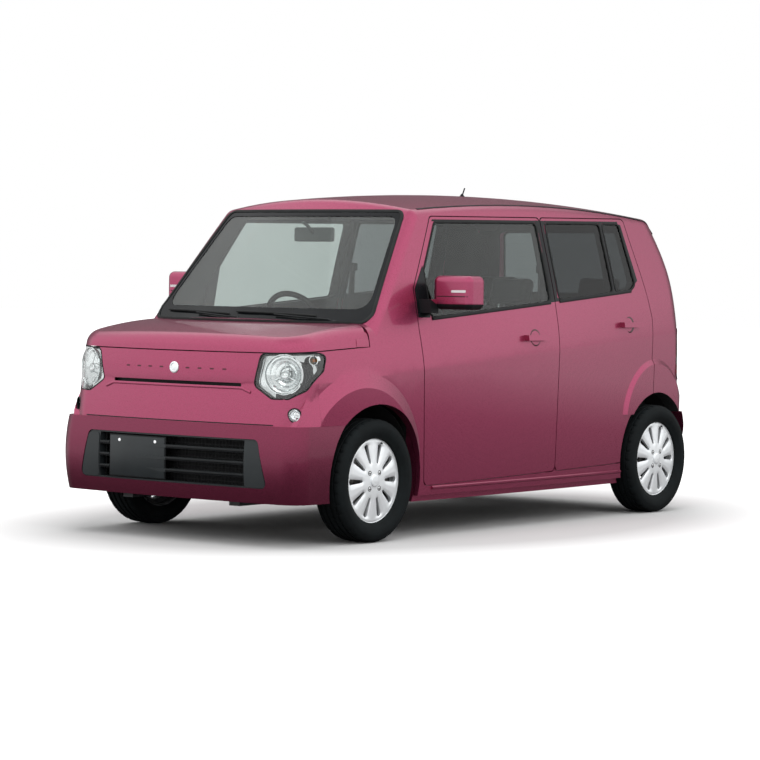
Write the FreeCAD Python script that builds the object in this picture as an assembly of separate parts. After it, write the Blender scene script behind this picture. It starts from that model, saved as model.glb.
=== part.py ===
import FreeCAD, Part
import math
import os

# A five-door kei car with a short bonnet, a tall cabin and a nearly upright tail.
# Frame: origin on the floor under the middle of the car, front towards -Y,
# the car's own left side towards +X, up +Z. All lengths are in millimetres.

V = FreeCAD.Vector
X_DIR = V(1, 0, 0)
Y_DIR = V(0, 1, 0)
Z_DIR = V(0, 0, 1)
ORIGIN = V(0, 0, 0)

# Overall sizes
LENGTH = 3395.0
WIDTH = 1475.0
ROOF_Z = 1622.0
WHEELBASE = 2425.0
FRONT_OVERHANG = 605.0
TRACK = 1290.0
HALF_L = LENGTH / 2
HALF_W = WIDTH / 2
NOSE_Y = -HALF_L
TAIL_Y = HALF_L
FRONT_AXLE_Y = NOSE_Y + FRONT_OVERHANG
REAR_AXLE_Y = FRONT_AXLE_Y + WHEELBASE
OVERRUN = 400.0
CLEAR = 0.5

# Levels of the body sides: the height over mid-length, the rise towards the tail,
# the half width there, and how far the nose and the tail stand in from the car's ends
SILL_Z, SILL_RISE, SILL_HALF_W, SILL_NOSE_IN, SILL_TAIL_IN = 196.0, 0.0, 716.0, 22.0, 16.0
WAIST_Z, WAIST_RISE, WAIST_HALF_W, WAIST_NOSE_IN, WAIST_TAIL_IN = 450.0, 0.03, 724.0, 18.0, 6.0
CREASE_Z, CREASE_RISE, CREASE_HALF_W, CREASE_NOSE_IN, CREASE_TAIL_IN = 828.0, 0.0688, 735.0, 34.0, 14.0
BELT_Z, BELT_RISE, BELT_HALF_W, BELT_NOSE_IN, BELT_TAIL_IN = 1070.0, 0.078, 700.0, 46.0, 40.0
GLASS_Z, GLASS_RISE, GLASS_HALF_W, GLASS_NOSE_IN, GLASS_TAIL_IN = 1300.0, 0.05, 645.0, 78.0, 84.0
RAIL_Z, RAIL_RISE, RAIL_HALF_W, RAIL_NOSE_IN, RAIL_TAIL_IN = 1530.0, 0.03, 586.0, 98.0, 126.0
CROWN_Z, CROWN_RISE, CROWN_HALF_W, CROWN_NOSE_IN, CROWN_TAIL_IN = 1720.0, 0.023, 530.0, 118.0, 166.0

# Edges between faces that meet at more than this many degrees are rounded
SHARP_ANGLE = 12.0

# Plan curves
SIDE_R = 25000.0
NOSE_R = 4500.0
TAIL_R = 4600.0
LOW_CORNER_R = 120.0
HIGH_CORNER_R = 150.0
TOP_CORNER_R = 235.0

# Roof, windscreen and bonnet surfaces
ROOF_APEX_Y = 450.0
ROOF_LONG_R = 12000.0
ROOF_CROWN_R = 2900.0
SCREEN_FOOT_Y, SCREEN_FOOT_Z = -1180.0, 985.0
SCREEN_HEAD_Y, SCREEN_HEAD_Z = -715.0, 1530.0
SCREEN_R = 3000.0
BONNET_REAR_Y, BONNET_REAR_Z = -1150.0, 1005.0
BONNET_FRONT_Y, BONNET_FRONT_Z = -1640.0, 932.0
BONNET_LONG_R = 3000.0
BONNET_SWEEP_SHARE = 1.2
BONNET_CROWN_R = 9000.0
BONNET_BLOCK_END_Y = -800.0
CABIN_EDGE_R = 60.0
BONNET_EDGE_R = 70.0

# Walls
WALL = 60.0
DOOR_SKIN = 24.0
DOOR_STEP = 5.0
DOOR_LAP = 20.0
UPPER_WALL_SHARE = 0.7
GLASS_INSET = 4.0
GLASS_THICK = 5.0
LID_THICK = 24.0
PANEL_GAP = 5.0

# Bumpers
BUMPER_TOP_Z = 538.0
BUMPER_LEDGE = 58.0
BUMPER_LOW_Z = 196.0
BUMPER_TOP_IN = 10.0
BUMPER_FOOT_IN = 14.0
BUMPER_HALF_W = 736.0
BUMPER_SIDE_R = 60000.0
BUMPER_END_R = 7000.0
BUMPER_INNER_R = 7001.0
BUMPER_CORNER_R = 105.0
BUMPER_DEPTH = 45.0
REAR_BUMPER_TOP_Z = 520.0
REAR_BUMPER_HALF_W = 730.0
FENDER_SEAM_Y = -1488.0

# Wheel arches and their flares
ARCH_R = 343.0
ARCH_RISE = 4.0
FRONT_FLARE_Y, FRONT_FLARE_Z = -1140.0, 381.0
FRONT_FLARE_LIP_R, FRONT_FLARE_OUTER_R, FRONT_FLARE_PROUD = 300.0, 432.0, 24.0
REAR_FLARE_Y, REAR_FLARE_Z = 1285.0, 500.0
REAR_FLARE_LIP_R, REAR_FLARE_OUTER_R, REAR_FLARE_PROUD = 240.0, 306.0, 16.0
FLARE_DROP = 42.0
HOUSING_THICK = 4.0
HOUSING_LOW_Z = 232.0
SHAFT_HOLE_R = 70.0
KNUCKLE_SLOT_Y0, KNUCKLE_SLOT_Y1, KNUCKLE_SLOT_Z = -1210.0, -940.0, 330.0
SPINDLE_L = 22.0
RACK_EYE_H = 12.0
RACK_FOOT_SHARE = 0.6
RACK_EXHAUST_GAP = 60.0
EXHAUST_DIP_Z = 205.0
MIRROR_FOOT_SHARE = 0.93
SIDEWALL_SHARE = 0.86
HEADREST_GAP, HEADREST_POST_R = 18.0, 6.0
SPOKE_DOME = 10.0
SLOT_INNER_R, SLOT_OUTER_R = 82.0, 170.0
SLOT_INNER_W, SLOT_OUTER_W = 14.0, 26.0
LUG_TURN = 45.0
DISC_OFFSET = -5.0
FRONT_HOUSING_INNER_X = 400.0
REAR_HOUSING_INNER_X = 500.0

# Door outlines in the side view
DOOR_BOTTOM_Z = 242.0
DOOR_BOTTOM_RISE = 0.02
DOOR_FRONT_LOW_Y = -716.0
DOOR_FRONT_HIGH_Y = -760.0
DOOR_FRONT_HIGH_Z = 957.0
DOOR_PILLAR_FOOT_Z = 1150.0
DOOR_TOP_FRONT_Y = -545.0
DOOR_TOP_Z = 1489.0
DOOR_TOP_RISE = 0.0214
DOOR_SPLIT_Y = 360.0
REAR_DOOR_REAR_Y = 1278.0
REAR_DOOR_SHOULDER_Z = 1010.0
REAR_DOOR_TOP_REAR_Y = 1165.0
DOOR_CORNER_R = 28.0
FRAME_W = 24.0
PILLAR_FRAME_W = 40.0
WINDOW_R = 26.0
SAIL_REAR_Y = -664.0
DIVIDER_Y = 930.0
DIVIDER_W = 26.0
WINDOW_REAR_LOW_Y = 1150.0
WINDOW_REAR_HIGH_Y = 1112.0
BELT_LINE_Z = 1071.0
BELT_LINE_RISE = 0.0808

# Front view outlines
SCREEN_GLASS_LOW_X, SCREEN_GLASS_LOW_Z = 655.0, 990.0
SCREEN_GLASS_HIGH_X, SCREEN_GLASS_HIGH_Z = 528.0, 1512.0
SCREEN_GLASS_R = 45.0
ROOF_PANEL_HALF_W = 548.0
LAMP_DEPTH = 75.0
FOG_X, FOG_Z, FOG_R = 655.0, 588.0, 27.0
SLIT_HALF_W, SLIT_Z, SLIT_H = 380.0, 713.0, 17.0
GRILLE_HALF_W, GRILLE_TOP_Z, GRILLE_LOW_Z = 560.0, 478.0, 262.0
GRILLE_TOP_HALF_W = 505.0
INSERT_INNER_X = 432.0
SLAT_COUNT = 4
SLAT_H = 14.0
BONNET_SHUT_Z = 857.0
BONNET_SHUT_RISE_Z = 889.0
BONNET_SHUT_REAR_Y = -1128.0
COWL_DEPTH = 60.0
COWL_HALF_W = 560.0
COWL_LOW_Z, COWL_HIGH_Z = 880.0, 1030.0

# Tail outlines
GATE_HALF_W = 560.0
GATE_TOP_HALF_W = 520.0
GATE_LOW_Z = 560.0
GATE_TOP_Y = 1530.0
GATE_WINDOW_HALF_W = 500.0
GATE_WINDOW_TOP_HALF_W = 455.0
GATE_WINDOW_LOW_Z = 1130.0
GATE_WINDOW_HIGH_Z = 1470.0

# Wheels and tyres
TYRE_R = 281.0
TYRE_W = 162.0
TREAD_W = 128.0
RIM_R = 190.5
RIM_LIP_R = 199.0
RIM_W = 128.0
RIM_THICK = 7.0
HUB_R = 66.0
LUG_PCD = 100.0
LUG_HOLE_R = 7.0
LUG_COUNT = 4
SPOKE_COUNT = 10
SPOKE_FACE_IN = 12.0
SPOKE_THICK = 26.0
SPINDLE_R = 16.0
SPINDLE_FIT = 0.08
DISC_R = 128.0
DISC_THICK = 20.0
DRUM_R = 100.0
DRUM_W = 52.0

# Doors, lids and steering: where they turn
KINGPIN_X = 585.0
STEERING_HUB_X = -345.0
STEERING_HUB_Y = -375.0
STEERING_HUB_Z = 955.0
STEERING_RAKE = 26.0
STEERING_R = 176.0
STEERING_RIM_R = 15.0
STEERING_HUB_R = 48.0
COLUMN_GAP, COLUMN_L, COLUMN_R = 15.3, 330.0, 26.0

# Seams that close without a gap
FENDER_REAR_Y = -700.0
HINGE_PILLAR_Y = -790.0
PILLAR_FOOT_Z = 985.0
PILLAR_INNER_X = 480.0
ROOF_PANEL_LOW_Z = 1400.0
FIT = 0.3
TRIM_IN = 7.0

# Lamps: outlines of (across, up) in a plane that faces partly sideways
LAMP_TURN = 20.0
LAMP_START = 1270.0
LAMP_OUTLINE = [(-107.0, 853.0), (152.0, 861.0), (150.0, 782.0), (104.0, 697.0), (32.0, 658.0),
                (-48.0, 658.0), (-140.0, 714.0)]
LAMP_CORNER_R = 26.0
LENS_THICK = 4.0
LENS_GAP = 4.0
TAIL_LAMP_TURN = 12.0
TAIL_LAMP_OUTLINE = [(-158.0, 960.0), (-24.0, 960.0), (-24.0, 690.0), (-158.0, 690.0)]
TAIL_LAMP_CORNER_R = 40.0
TAIL_LAMP_THICK = 40.0

# Underbody
FLOOR_Z = 200.0
FLOOR_THICK = 14.0
REAR_FLOOR_Z = 345.0
REAR_FLOOR_Y = 560.0
FIREWALL_Y = -736.0
FIREWALL_HIGH_Y = -1020.0
FIREWALL_SHELF_Z = 646.0
FIREWALL_THICK = 12.0
TUNNEL_W = 240.0
TUNNEL_H = 110.0
BLOCK_W, BLOCK_L, BLOCK_LOW_Z, BLOCK_H = 520.0, 380.0, 235.0, 480.0
BLOCK_Y = -1300.0
TOWER_R = 86.0
TOWER_TOP_Z = 848.0
TOWER_X = 520.0
STRUT_FOOT_Z = 424.0
STRUT_R = 22.0
SPRING_R = 56.0
SPRING_LOW_Z = 604.0
CRADLE_HALF_W, CRADLE_Y0, CRADLE_Y1 = 370.0, -1200.0, -1000.0
CRADLE_Z0, CRADLE_Z1 = 172.0, 234.7
RAIL_X0, RAIL_X1 = 290.0, 350.0
RAIL_FRONT_Y, RAIL_REAR_Y = -1612.0, -690.0
RADIATOR_HALF_W, RADIATOR_Y0, RADIATOR_Y1, RADIATOR_Z1 = 360.0, -1600.0, -1560.0, 660.0
ARM_FOOT_X, ARM_TIP_X, ARM_Z = 340.0, 585.0, 186.0
ARM_R = 15.0
BALL_R = 17.0
BALL_SEAT_H = 2.5
CARRIER_R = 46.0
CARRIER_X0, CARRIER_X1 = 592.0, 612.0
NECK_X0, NECK_X1 = 568.0, 604.0
NECK_HALF_L = 22.0
NECK_Z0, NECK_Z1 = 216.0, 430.0
STRUT_BOSS_H = 20.0
HUB_FACE_X = 640.0
CALIPER_L, CALIPER_H = 70.0, 110.0
KNUCKLE_ARM_Y = 112.0
KNUCKLE_ARM_Z = 250.0
KNUCKLE_ARM_X = 566.0
RACK_Z = 286.0
RACK_R, RACK_TUBE_R = 9.0, 26.0
RACK_TUBE_HALF_L = 300.0
REAR_BEAM_R = 30.0
REAR_BEAM_X = 556.0
TRAIL_X, TRAIL_Y, TRAIL_Z = 430.0, 905.0, 262.0
TRAIL_R = 19.0
REAR_SPRING_X, REAR_SPRING_Y, REAR_SPRING_R = 335.0, 1240.0, 52.0
DAMPER_X, DAMPER_Y, DAMPER_R = 440.0, 1400.0, 20.0
DAMPER_TILT = 60.0
PIPE_R = 21.0
PIPE_Z = 256.0
MUFFLER_X, MUFFLER_Y0, MUFFLER_Y1, MUFFLER_Z, MUFFLER_R = -230.0, 1470.0, 1625.0, 250.0, 62.0
MUFFLER_HALF_W = 190.0
TAILPIPE_R, TAILPIPE_IN, TAILPIPE_Z = 18.0, 22.0, 168.0
TANK_X0, TANK_X1, TANK_Y0, TANK_Y1, TANK_Z0 = 70.0, 560.0, 585.0, 876.0, 214.0
TANK_R = 30.0

# Cabin fittings
SEAT_W = 480.0
SEAT_X = 325.0
SEAT_Y0 = -170.0
REAR_SEAT_Y0 = 640.0
REAR_SEAT_HALF_W = 488.0
SEAT_BASE_W, SEAT_BASE_L = 360.0, 380.0
CUSHION_L, CUSHION_H, CUSHION_TOP_Z = 500.0, 140.0, 560.0
REAR_CUSHION_TOP_Z = 570.0
BACK_THICK, BACK_H, BACK_LEAN = 110.0, 600.0, 16.0
HEADREST_W, HEADREST_H, HEADREST_THICK = 250.0, 150.0, 80.0
SOFT_R = 32.0
DASH_OUTLINE = [(-996.0, 938.0), (-650.0, 985.0), (-585.0, 940.0), (-600.0, 780.0), (-716.0, 672.0),
                (-996.0, 690.0)]
DASH_R = 28.0

# Mirrors, handles, antenna and wipers
MIRROR_Y0, MIRROR_Y1 = -690.0, -560.0
MIRROR_X0, MIRROR_X1 = 712.0, 930.0
MIRROR_Z0, MIRROR_Z1 = 1058.0, 1214.0
MIRROR_R = 30.0
MIRROR_FOOT_Y, MIRROR_FOOT_Z = -738.0, 1040.0
HANDLE_L, HANDLE_H, HANDLE_OUT = 190.0, 26.0, 30.0
FRONT_HANDLE_Y, FRONT_HANDLE_Z = 150.0, 921.0
REAR_HANDLE_Y, REAR_HANDLE_Z = 1040.0, 982.0
ANTENNA_Y, ANTENNA_R, ANTENNA_L = 528.0, 3.5, 46.0
ANTENNA_LEAN, ANTENNA_BASE_R = 22.0, 16.0
FENDER_INNER_SHARE = 0.74
FOG_Y, FOG_TURN = -1616.0, 28.0


def mirrored(shape):
    """The same piece on the car's right side."""
    return shape.mirror(ORIGIN, X_DIR)


def both_sides(shape):
    """One compound of a left piece and its right twin."""
    return Part.makeCompound(shape.Solids + mirrored(shape).Solids)


def box(x0, x1, y0, y1, z0, z1):
    """A box between two corners."""
    return Part.makeBox(x1 - x0, y1 - y0, z1 - z0, V(x0, y0, z0))


def rod(start, end, radius):
    """A round bar from one point to another."""
    run = end - start
    return Part.makeCylinder(radius, run.Length, start, run)


def fused(pieces):
    """One solid from pieces that meet."""
    whole = pieces[0].multiFuse(pieces[1:]) if len(pieces) > 1 else pieces[0]
    return whole.removeSplitter()


def rounded_wire(points, radius):
    """A closed outline with its corners rounded by one radius."""
    edges = []
    count = len(points)
    starts, ends = [], []
    for i in range(count):
        before, here, after = points[i - 1], points[i], points[(i + 1) % count]
        back = (before - here).normalize()
        ahead = (after - here).normalize()
        half = back.getAngle(ahead) / 2
        reach = radius / math.tan(half)
        start = here + back * reach
        end = here + ahead * reach
        inward = (back + ahead).normalize()
        middle = here + inward * (radius / math.sin(half) - radius)
        starts.append(start)
        ends.append(end)
        edges.append(Part.Arc(start, middle, end).toShape())
    sides = [Part.LineSegment(ends[i - 1], starts[i]).toShape() for i in range(count)]
    ring = []
    for side, arc in zip(sides, edges):
        ring += [side, arc]
    return Part.Wire(ring)


def side_prism(outline, radius, x0, x1):
    """A side-view outline of (y, z) points, drawn out across the car from x0 to x1."""
    wire = rounded_wire([V(x0, y, z) for y, z in outline], radius)
    return Part.Face(wire).extrude(X_DIR * (x1 - x0))


def front_prism(outline, radius, y0, y1):
    """A front-view outline of (x, z) points, drawn out along the car from y0 to y1."""
    wire = rounded_wire([V(x, y0, z) for x, z in outline], radius)
    return Part.Face(wire).extrude(Y_DIR * (y1 - y0))


def moved_out(outline, offset):
    """An outline of (u, v) points with each side moved out by an offset."""
    points = [V(u, v, 0) for u, v in outline]
    area = sum(a.x * b.y - b.x * a.y for a, b in zip(points, points[1:] + points[:1]))
    sign = 1 if area > 0 else -1
    result = []
    count = len(points)
    for i in range(count):
        before, here, after = points[i - 1], points[i], points[(i + 1) % count]
        first = (here - before).normalize()
        second = (after - here).normalize()
        n1 = V(first.y, -first.x, 0) * sign
        n2 = V(second.y, -second.x, 0) * sign
        bisector = (n1 + n2).normalize()
        shift = bisector * (offset / bisector.dot(n1))
        result.append((here.x + shift.x, here.y + shift.y))
    return result


# The body's outer form

def level_wire(z, rise, half_w, nose_y, tail_y, corner_r, side_r=SIDE_R, nose_r=NOSE_R, tail_r=TAIL_R):
    """The body's outline at one level: long arcs for nose, sides and tail, joined by tangent corners."""
    stretch = math.hypot(1, rise)
    side_centre = V(half_w - side_r, 0, 0)

    def corner(end_y, end_r, towards):
        end_centre = V(0, end_y * stretch - towards * end_r, 0)
        span = end_centre - side_centre
        reach, other = side_r - corner_r, end_r - corner_r
        along = (span.Length ** 2 + reach ** 2 - other ** 2) / (2 * span.Length)
        across = math.sqrt(reach ** 2 - along ** 2)
        unit = span.normalize()
        normal = V(-unit.y, unit.x, 0)
        sides = [side_centre + unit * along + normal * (across * s) for s in (1, -1)]
        centre = max(sides, key=lambda p: (p.y - end_centre.y) * towards)
        on_side = side_centre + (centre - side_centre).normalize() * side_r
        on_end = end_centre + (centre - end_centre).normalize() * end_r
        middle = centre + ((on_side - centre) + (on_end - centre)).normalize() * corner_r
        return on_side, middle, on_end

    nose = corner(nose_y, nose_r, -1)
    tail = corner(tail_y, tail_r, 1)
    left = [
        (nose[2], nose[1], nose[0]),
        (nose[0], V(half_w, 0, 0), tail[0]),
        (tail[0], tail[1], tail[2]),
    ]

    def flip(p):
        return V(-p.x, p.y, p.z)

    arcs = [(flip(nose[2]), V(0, nose_y * stretch, 0), nose[2])]
    arcs += left
    arcs += [(tail[2], V(0, tail_y * stretch, 0), flip(tail[2]))]
    arcs += [(flip(c), flip(b), flip(a)) for a, b, c in reversed(left)]
    wire = Part.Wire([Part.Arc(a, b, c).toShape() for a, b, c in arcs])
    wire.rotate(ORIGIN, X_DIR, math.degrees(math.atan(rise)))
    wire.translate(V(0, 0, z))
    return wire


def level(name_values, inset, corner_r):
    """One body level, moved in by an inset on all sides."""
    z, rise, half_w, nose_in, tail_in = name_values
    return level_wire(z, rise, half_w - inset, NOSE_Y + nose_in + inset, TAIL_Y - tail_in - inset,
                      corner_r - min(inset, corner_r / 2))


def lower_block(inset):
    """The body below the side crease; an inset one also reaches below the sills."""
    sill = (SILL_Z - inset, SILL_RISE, SILL_HALF_W, SILL_NOSE_IN, SILL_TAIL_IN)
    waist = (WAIST_Z, WAIST_RISE, WAIST_HALF_W, WAIST_NOSE_IN, WAIST_TAIL_IN)
    crease = (CREASE_Z, CREASE_RISE, CREASE_HALF_W, CREASE_NOSE_IN, CREASE_TAIL_IN)
    wires = [level(sill, inset, LOW_CORNER_R), level(waist, inset, LOW_CORNER_R),
             level(crease, inset, HIGH_CORNER_R)]
    return Part.makeLoft(wires, True, False)


def upper_block(inset):
    """The body above the side crease, still with a tall nose and no roof."""
    thin = inset * UPPER_WALL_SHARE
    crease = (CREASE_Z, CREASE_RISE, CREASE_HALF_W, CREASE_NOSE_IN, CREASE_TAIL_IN)
    belt = (BELT_Z, BELT_RISE, BELT_HALF_W, BELT_NOSE_IN, BELT_TAIL_IN)
    glass = (GLASS_Z, GLASS_RISE, GLASS_HALF_W, GLASS_NOSE_IN, GLASS_TAIL_IN)
    rail = (RAIL_Z, RAIL_RISE, RAIL_HALF_W, RAIL_NOSE_IN, RAIL_TAIL_IN)
    crown = (CROWN_Z, CROWN_RISE, CROWN_HALF_W, CROWN_NOSE_IN, CROWN_TAIL_IN)
    wires = [level(crease, inset, HIGH_CORNER_R), level(belt, (inset + thin) / 2, HIGH_CORNER_R),
             level(glass, thin, HIGH_CORNER_R), level(rail, thin, TOP_CORNER_R),
             level(crown, thin, TOP_CORNER_R)]
    return Part.makeLoft(wires, True, False)


def under_crown(crown_r, long_r, centre_y, centre_z, sweep):
    """The space under a surface crowned across the car and arched along it."""
    half = HALF_W + OVERRUN
    top = centre_z + long_r
    edge = top - crown_r + math.sqrt(crown_r ** 2 - half ** 2)
    floor = edge - 2 * half
    points = [V(-half, centre_y, edge), V(0, centre_y, top), V(half, centre_y, edge)]
    arc = Part.Arc(*points).toShape()
    rest = Part.makePolygon([points[2], V(half, centre_y, floor), V(-half, centre_y, floor), points[0]])
    face = Part.Face(Part.Wire([arc] + rest.Edges))
    centre = V(0, centre_y, centre_z)
    face.rotate(centre, X_DIR, -sweep)
    return face.revolve(centre, X_DIR, 2 * sweep)


def roof_space(inset):
    """The space under the roof surface."""
    sweep = math.degrees(math.asin((HALF_L + OVERRUN / 2) / ROOF_LONG_R))
    return under_crown(ROOF_CROWN_R - inset, ROOF_LONG_R - inset, ROOF_APEX_Y, ROOF_Z - ROOF_LONG_R, sweep)


def screen_space(inset):
    """The space behind the windscreen surface."""
    foot = V(0, SCREEN_FOOT_Y, SCREEN_FOOT_Z)
    slope = (V(0, SCREEN_HEAD_Y, SCREEN_HEAD_Z) - foot).normalize()
    inward = V(0, slope.z, -slope.y)
    start = foot - slope * LENGTH + inward * SCREEN_R
    return Part.makeCylinder(SCREEN_R - inset, 2 * LENGTH, start, slope)


def bonnet_space(inset):
    """The space under the bonnet surface."""
    rear = V(0, BONNET_REAR_Y, BONNET_REAR_Z)
    front = V(0, BONNET_FRONT_Y, BONNET_FRONT_Z)
    chord = rear - front
    drop = math.sqrt(BONNET_LONG_R ** 2 - (chord.Length / 2) ** 2)
    down = V(0, chord.z, -chord.y).normalize()
    centre = (rear + front) * 0.5 + down * drop
    sweep = math.degrees(math.asin(HALF_L / 2 / BONNET_LONG_R)) * BONNET_SWEEP_SHARE
    return under_crown(BONNET_CROWN_R - inset, BONNET_LONG_R - inset, centre.y, centre.z, sweep)


def sharp_edges(shape, limit, wanted):
    """The edges between faces that meet at more than a limit in degrees, if wanted says so."""
    found = []
    for edge in shape.Edges:
        if not wanted(edge.BoundBox):
            continue
        middle = edge.valueAt((edge.FirstParameter + edge.LastParameter) / 2)
        normals = []
        for face in shape.Faces:
            if any(edge.isSame(other) for other in face.Edges):
                u, v = face.Surface.parameter(middle)
                normals.append(face.normalAt(u, v))
        if len(normals) == 2 and math.degrees(normals[0].getAngle(normals[1])) > limit:
            found.append(edge)
    return found


def cabin_block(inset, soft):
    """The cabin: upper body behind the windscreen and under the roof."""
    thin = inset * UPPER_WALL_SHARE
    block = upper_block(inset).common(screen_space(thin)).common(roof_space(thin))
    if soft:
        edges = sharp_edges(block, SHARP_ANGLE, lambda b: b.ZMax > BELT_Z)
        block = block.makeFillet(CABIN_EDGE_R, edges)
    return block


def bonnet_block(inset, soft):
    """The nose above the crease, under the bonnet surface."""
    ahead = box(-WIDTH, WIDTH, NOSE_Y - OVERRUN, BONNET_BLOCK_END_Y, 0, 2 * ROOF_Z)
    block = upper_block(inset).common(bonnet_space(inset)).common(ahead)
    if soft:
        edges = sharp_edges(block, SHARP_ANGLE,
                            lambda b: b.ZMax > BONNET_SHUT_Z and b.YMin < BONNET_BLOCK_END_Y - CLEAR
                            and b.ZMin > BONNET_SHUT_Z)
        block = block.makeFillet(BONNET_EDGE_R, edges)
    return block


def hull(inset, soft=False):
    """The whole body moved in by an inset."""
    return lower_block(inset).fuse(cabin_block(inset, soft)).fuse(bonnet_block(inset, soft))


def flare(centre_y, centre_z, lip_r, outer_r, proud):
    """A raised brow over the left wheel arch: a face proud of the body and a sloping shoulder."""
    inner_x = HALF_W - 3 * FLARE_DROP
    drop = FLARE_DROP / (outer_r - lip_r)
    reach = outer_r + FLARE_DROP / 2 / drop
    profile = [V(inner_x, 0, 0), V(inner_x, 0, reach), V(HALF_W - 3 * FLARE_DROP / 2, 0, reach),
               V(HALF_W, 0, lip_r), V(HALF_W, 0, 0), V(inner_x, 0, 0)]
    disc = Part.Face(Part.makePolygon(profile)).revolve(ORIGIN, X_DIR, 360)
    disc.translate(V(0, centre_y, centre_z))
    return disc.common(lower_block(-proud).fuse(upper_block(-proud)))


def front_flare():
    """The front brow, from the bumper's ledge to the front door's edge."""
    shape = flare(FRONT_FLARE_Y, FRONT_FLARE_Z, FRONT_FLARE_LIP_R, FRONT_FLARE_OUTER_R, FRONT_FLARE_PROUD)
    return shape.common(box(0, WIDTH, NOSE_Y, DOOR_FRONT_HIGH_Y, SILL_Z, ROOF_Z))


def rear_flare():
    """The rear brow, which the rear door and the rear panel share."""
    shape = flare(REAR_FLARE_Y, REAR_FLARE_Z, REAR_FLARE_LIP_R, REAR_FLARE_OUTER_R, REAR_FLARE_PROUD)
    return shape.common(box(0, WIDTH, 0, TAIL_Y, REAR_BUMPER_TOP_Z, ROOF_Z))


def bumper_block(top_z, half_w, front, inset=0.0):
    """A bumper's outer form: a low box with round corners that stands proud of the body."""
    other_in = LENGTH / 3
    wires = []
    levels = ((BUMPER_LOW_Z, BUMPER_FOOT_IN), (top_z - BUMPER_LEDGE, 0.0), (top_z, BUMPER_TOP_IN))
    for z, back in levels:
        nose_in, tail_in = (back, other_in) if front else (other_in, back)
        wires.append(level_wire(z - inset, 0.0, half_w - back / 2 - inset, NOSE_Y + nose_in + inset,
                                TAIL_Y - tail_in - inset, BUMPER_CORNER_R - inset,
                                BUMPER_SIDE_R, BUMPER_END_R, BUMPER_INNER_R))
    return Part.makeLoft(wires, True, False)


def arch(axle_y, radius, x0, x1):
    """A round opening about a wheel's axle, on the car's left."""
    centre = V(x0, axle_y, TYRE_R + ARCH_RISE)
    return Part.makeCylinder(radius, x1 - x0, centre, X_DIR)


# Outlines in the side view, as lists of (y, z)

def door_low_z(y):
    """The height of the doors' lower edge."""
    return DOOR_BOTTOM_Z + DOOR_BOTTOM_RISE * (y - DOOR_FRONT_LOW_Y)


def door_top_z(y):
    """The height of the doors' upper edge."""
    return DOOR_TOP_Z + DOOR_TOP_RISE * (y - DOOR_TOP_FRONT_Y)


def belt_line_z(y):
    """The height of the windows' lower edge."""
    return BELT_LINE_Z + BELT_LINE_RISE * y


def pillar_y(z):
    """Where the doors' front edge runs up the windscreen pillar."""
    rise = (z - DOOR_PILLAR_FOOT_Z) / (DOOR_TOP_Z - DOOR_PILLAR_FOOT_Z)
    return DOOR_FRONT_HIGH_Y + rise * (DOOR_TOP_FRONT_Y - DOOR_FRONT_HIGH_Y)


def front_door_outline():
    """The front door's edge in the side view."""
    rear = DOOR_SPLIT_Y - PANEL_GAP / 2
    return [(DOOR_FRONT_LOW_Y, door_low_z(DOOR_FRONT_LOW_Y)), (rear, door_low_z(rear)),
            (rear, door_top_z(rear)), (DOOR_TOP_FRONT_Y, DOOR_TOP_Z),
            (DOOR_FRONT_HIGH_Y, DOOR_PILLAR_FOOT_Z), (DOOR_FRONT_HIGH_Y, DOOR_FRONT_HIGH_Z)]


def rear_door_outline():
    """The rear door's edge in the side view, before the wheel arch is cut."""
    front = DOOR_SPLIT_Y + PANEL_GAP / 2
    return [(front, door_low_z(front)), (REAR_DOOR_REAR_Y, door_low_z(REAR_DOOR_REAR_Y)),
            (REAR_DOOR_REAR_Y, REAR_DOOR_SHOULDER_Z),
            (REAR_DOOR_TOP_REAR_Y, door_top_z(REAR_DOOR_TOP_REAR_Y)), (front, door_top_z(front))]


def front_window_outline():
    """The front door's glass, behind the mirror's foot."""
    low_z, high_z = belt_line_z(SAIL_REAR_Y), door_top_z(DOOR_TOP_FRONT_Y) - FRAME_W
    rear = DOOR_SPLIT_Y - PILLAR_FRAME_W
    front_high = pillar_y(high_z) + PILLAR_FRAME_W
    front_mid_z = DOOR_PILLAR_FOOT_Z + (SAIL_REAR_Y - PILLAR_FRAME_W - DOOR_FRONT_HIGH_Y) \
        * (DOOR_TOP_Z - DOOR_PILLAR_FOOT_Z) / (DOOR_TOP_FRONT_Y - DOOR_FRONT_HIGH_Y)
    return [(SAIL_REAR_Y, low_z), (rear, belt_line_z(rear)), (rear, door_top_z(rear) - FRAME_W),
            (front_high, high_z), (SAIL_REAR_Y, front_mid_z)]


def rear_window_outline():
    """The rear door's sliding glass, ahead of the divider."""
    front = DOOR_SPLIT_Y + PILLAR_FRAME_W
    rear = DIVIDER_Y - DIVIDER_W / 2
    return [(front, belt_line_z(front)), (rear, belt_line_z(rear)), (rear, door_top_z(rear) - FRAME_W),
            (front, door_top_z(front) - FRAME_W)]


def quarter_window_outline():
    """The rear door's fixed quarter glass, behind the divider."""
    front = DIVIDER_Y + DIVIDER_W / 2
    low, high = WINDOW_REAR_LOW_Y, WINDOW_REAR_HIGH_Y
    return [(front, belt_line_z(front)), (low - DIVIDER_W * 2, belt_line_z(low - DIVIDER_W * 2)),
            (low, belt_line_z(low) + DIVIDER_W), (high, door_top_z(high) - FRAME_W),
            (front, door_top_z(front) - FRAME_W)]


def bonnet_shut_z(y):
    """The height of the bonnet's side edge."""
    share = (y - NOSE_Y) / (BONNET_SHUT_REAR_Y - NOSE_Y)
    return BONNET_SHUT_Z + share * (BONNET_SHUT_RISE_Z - BONNET_SHUT_Z)


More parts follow.
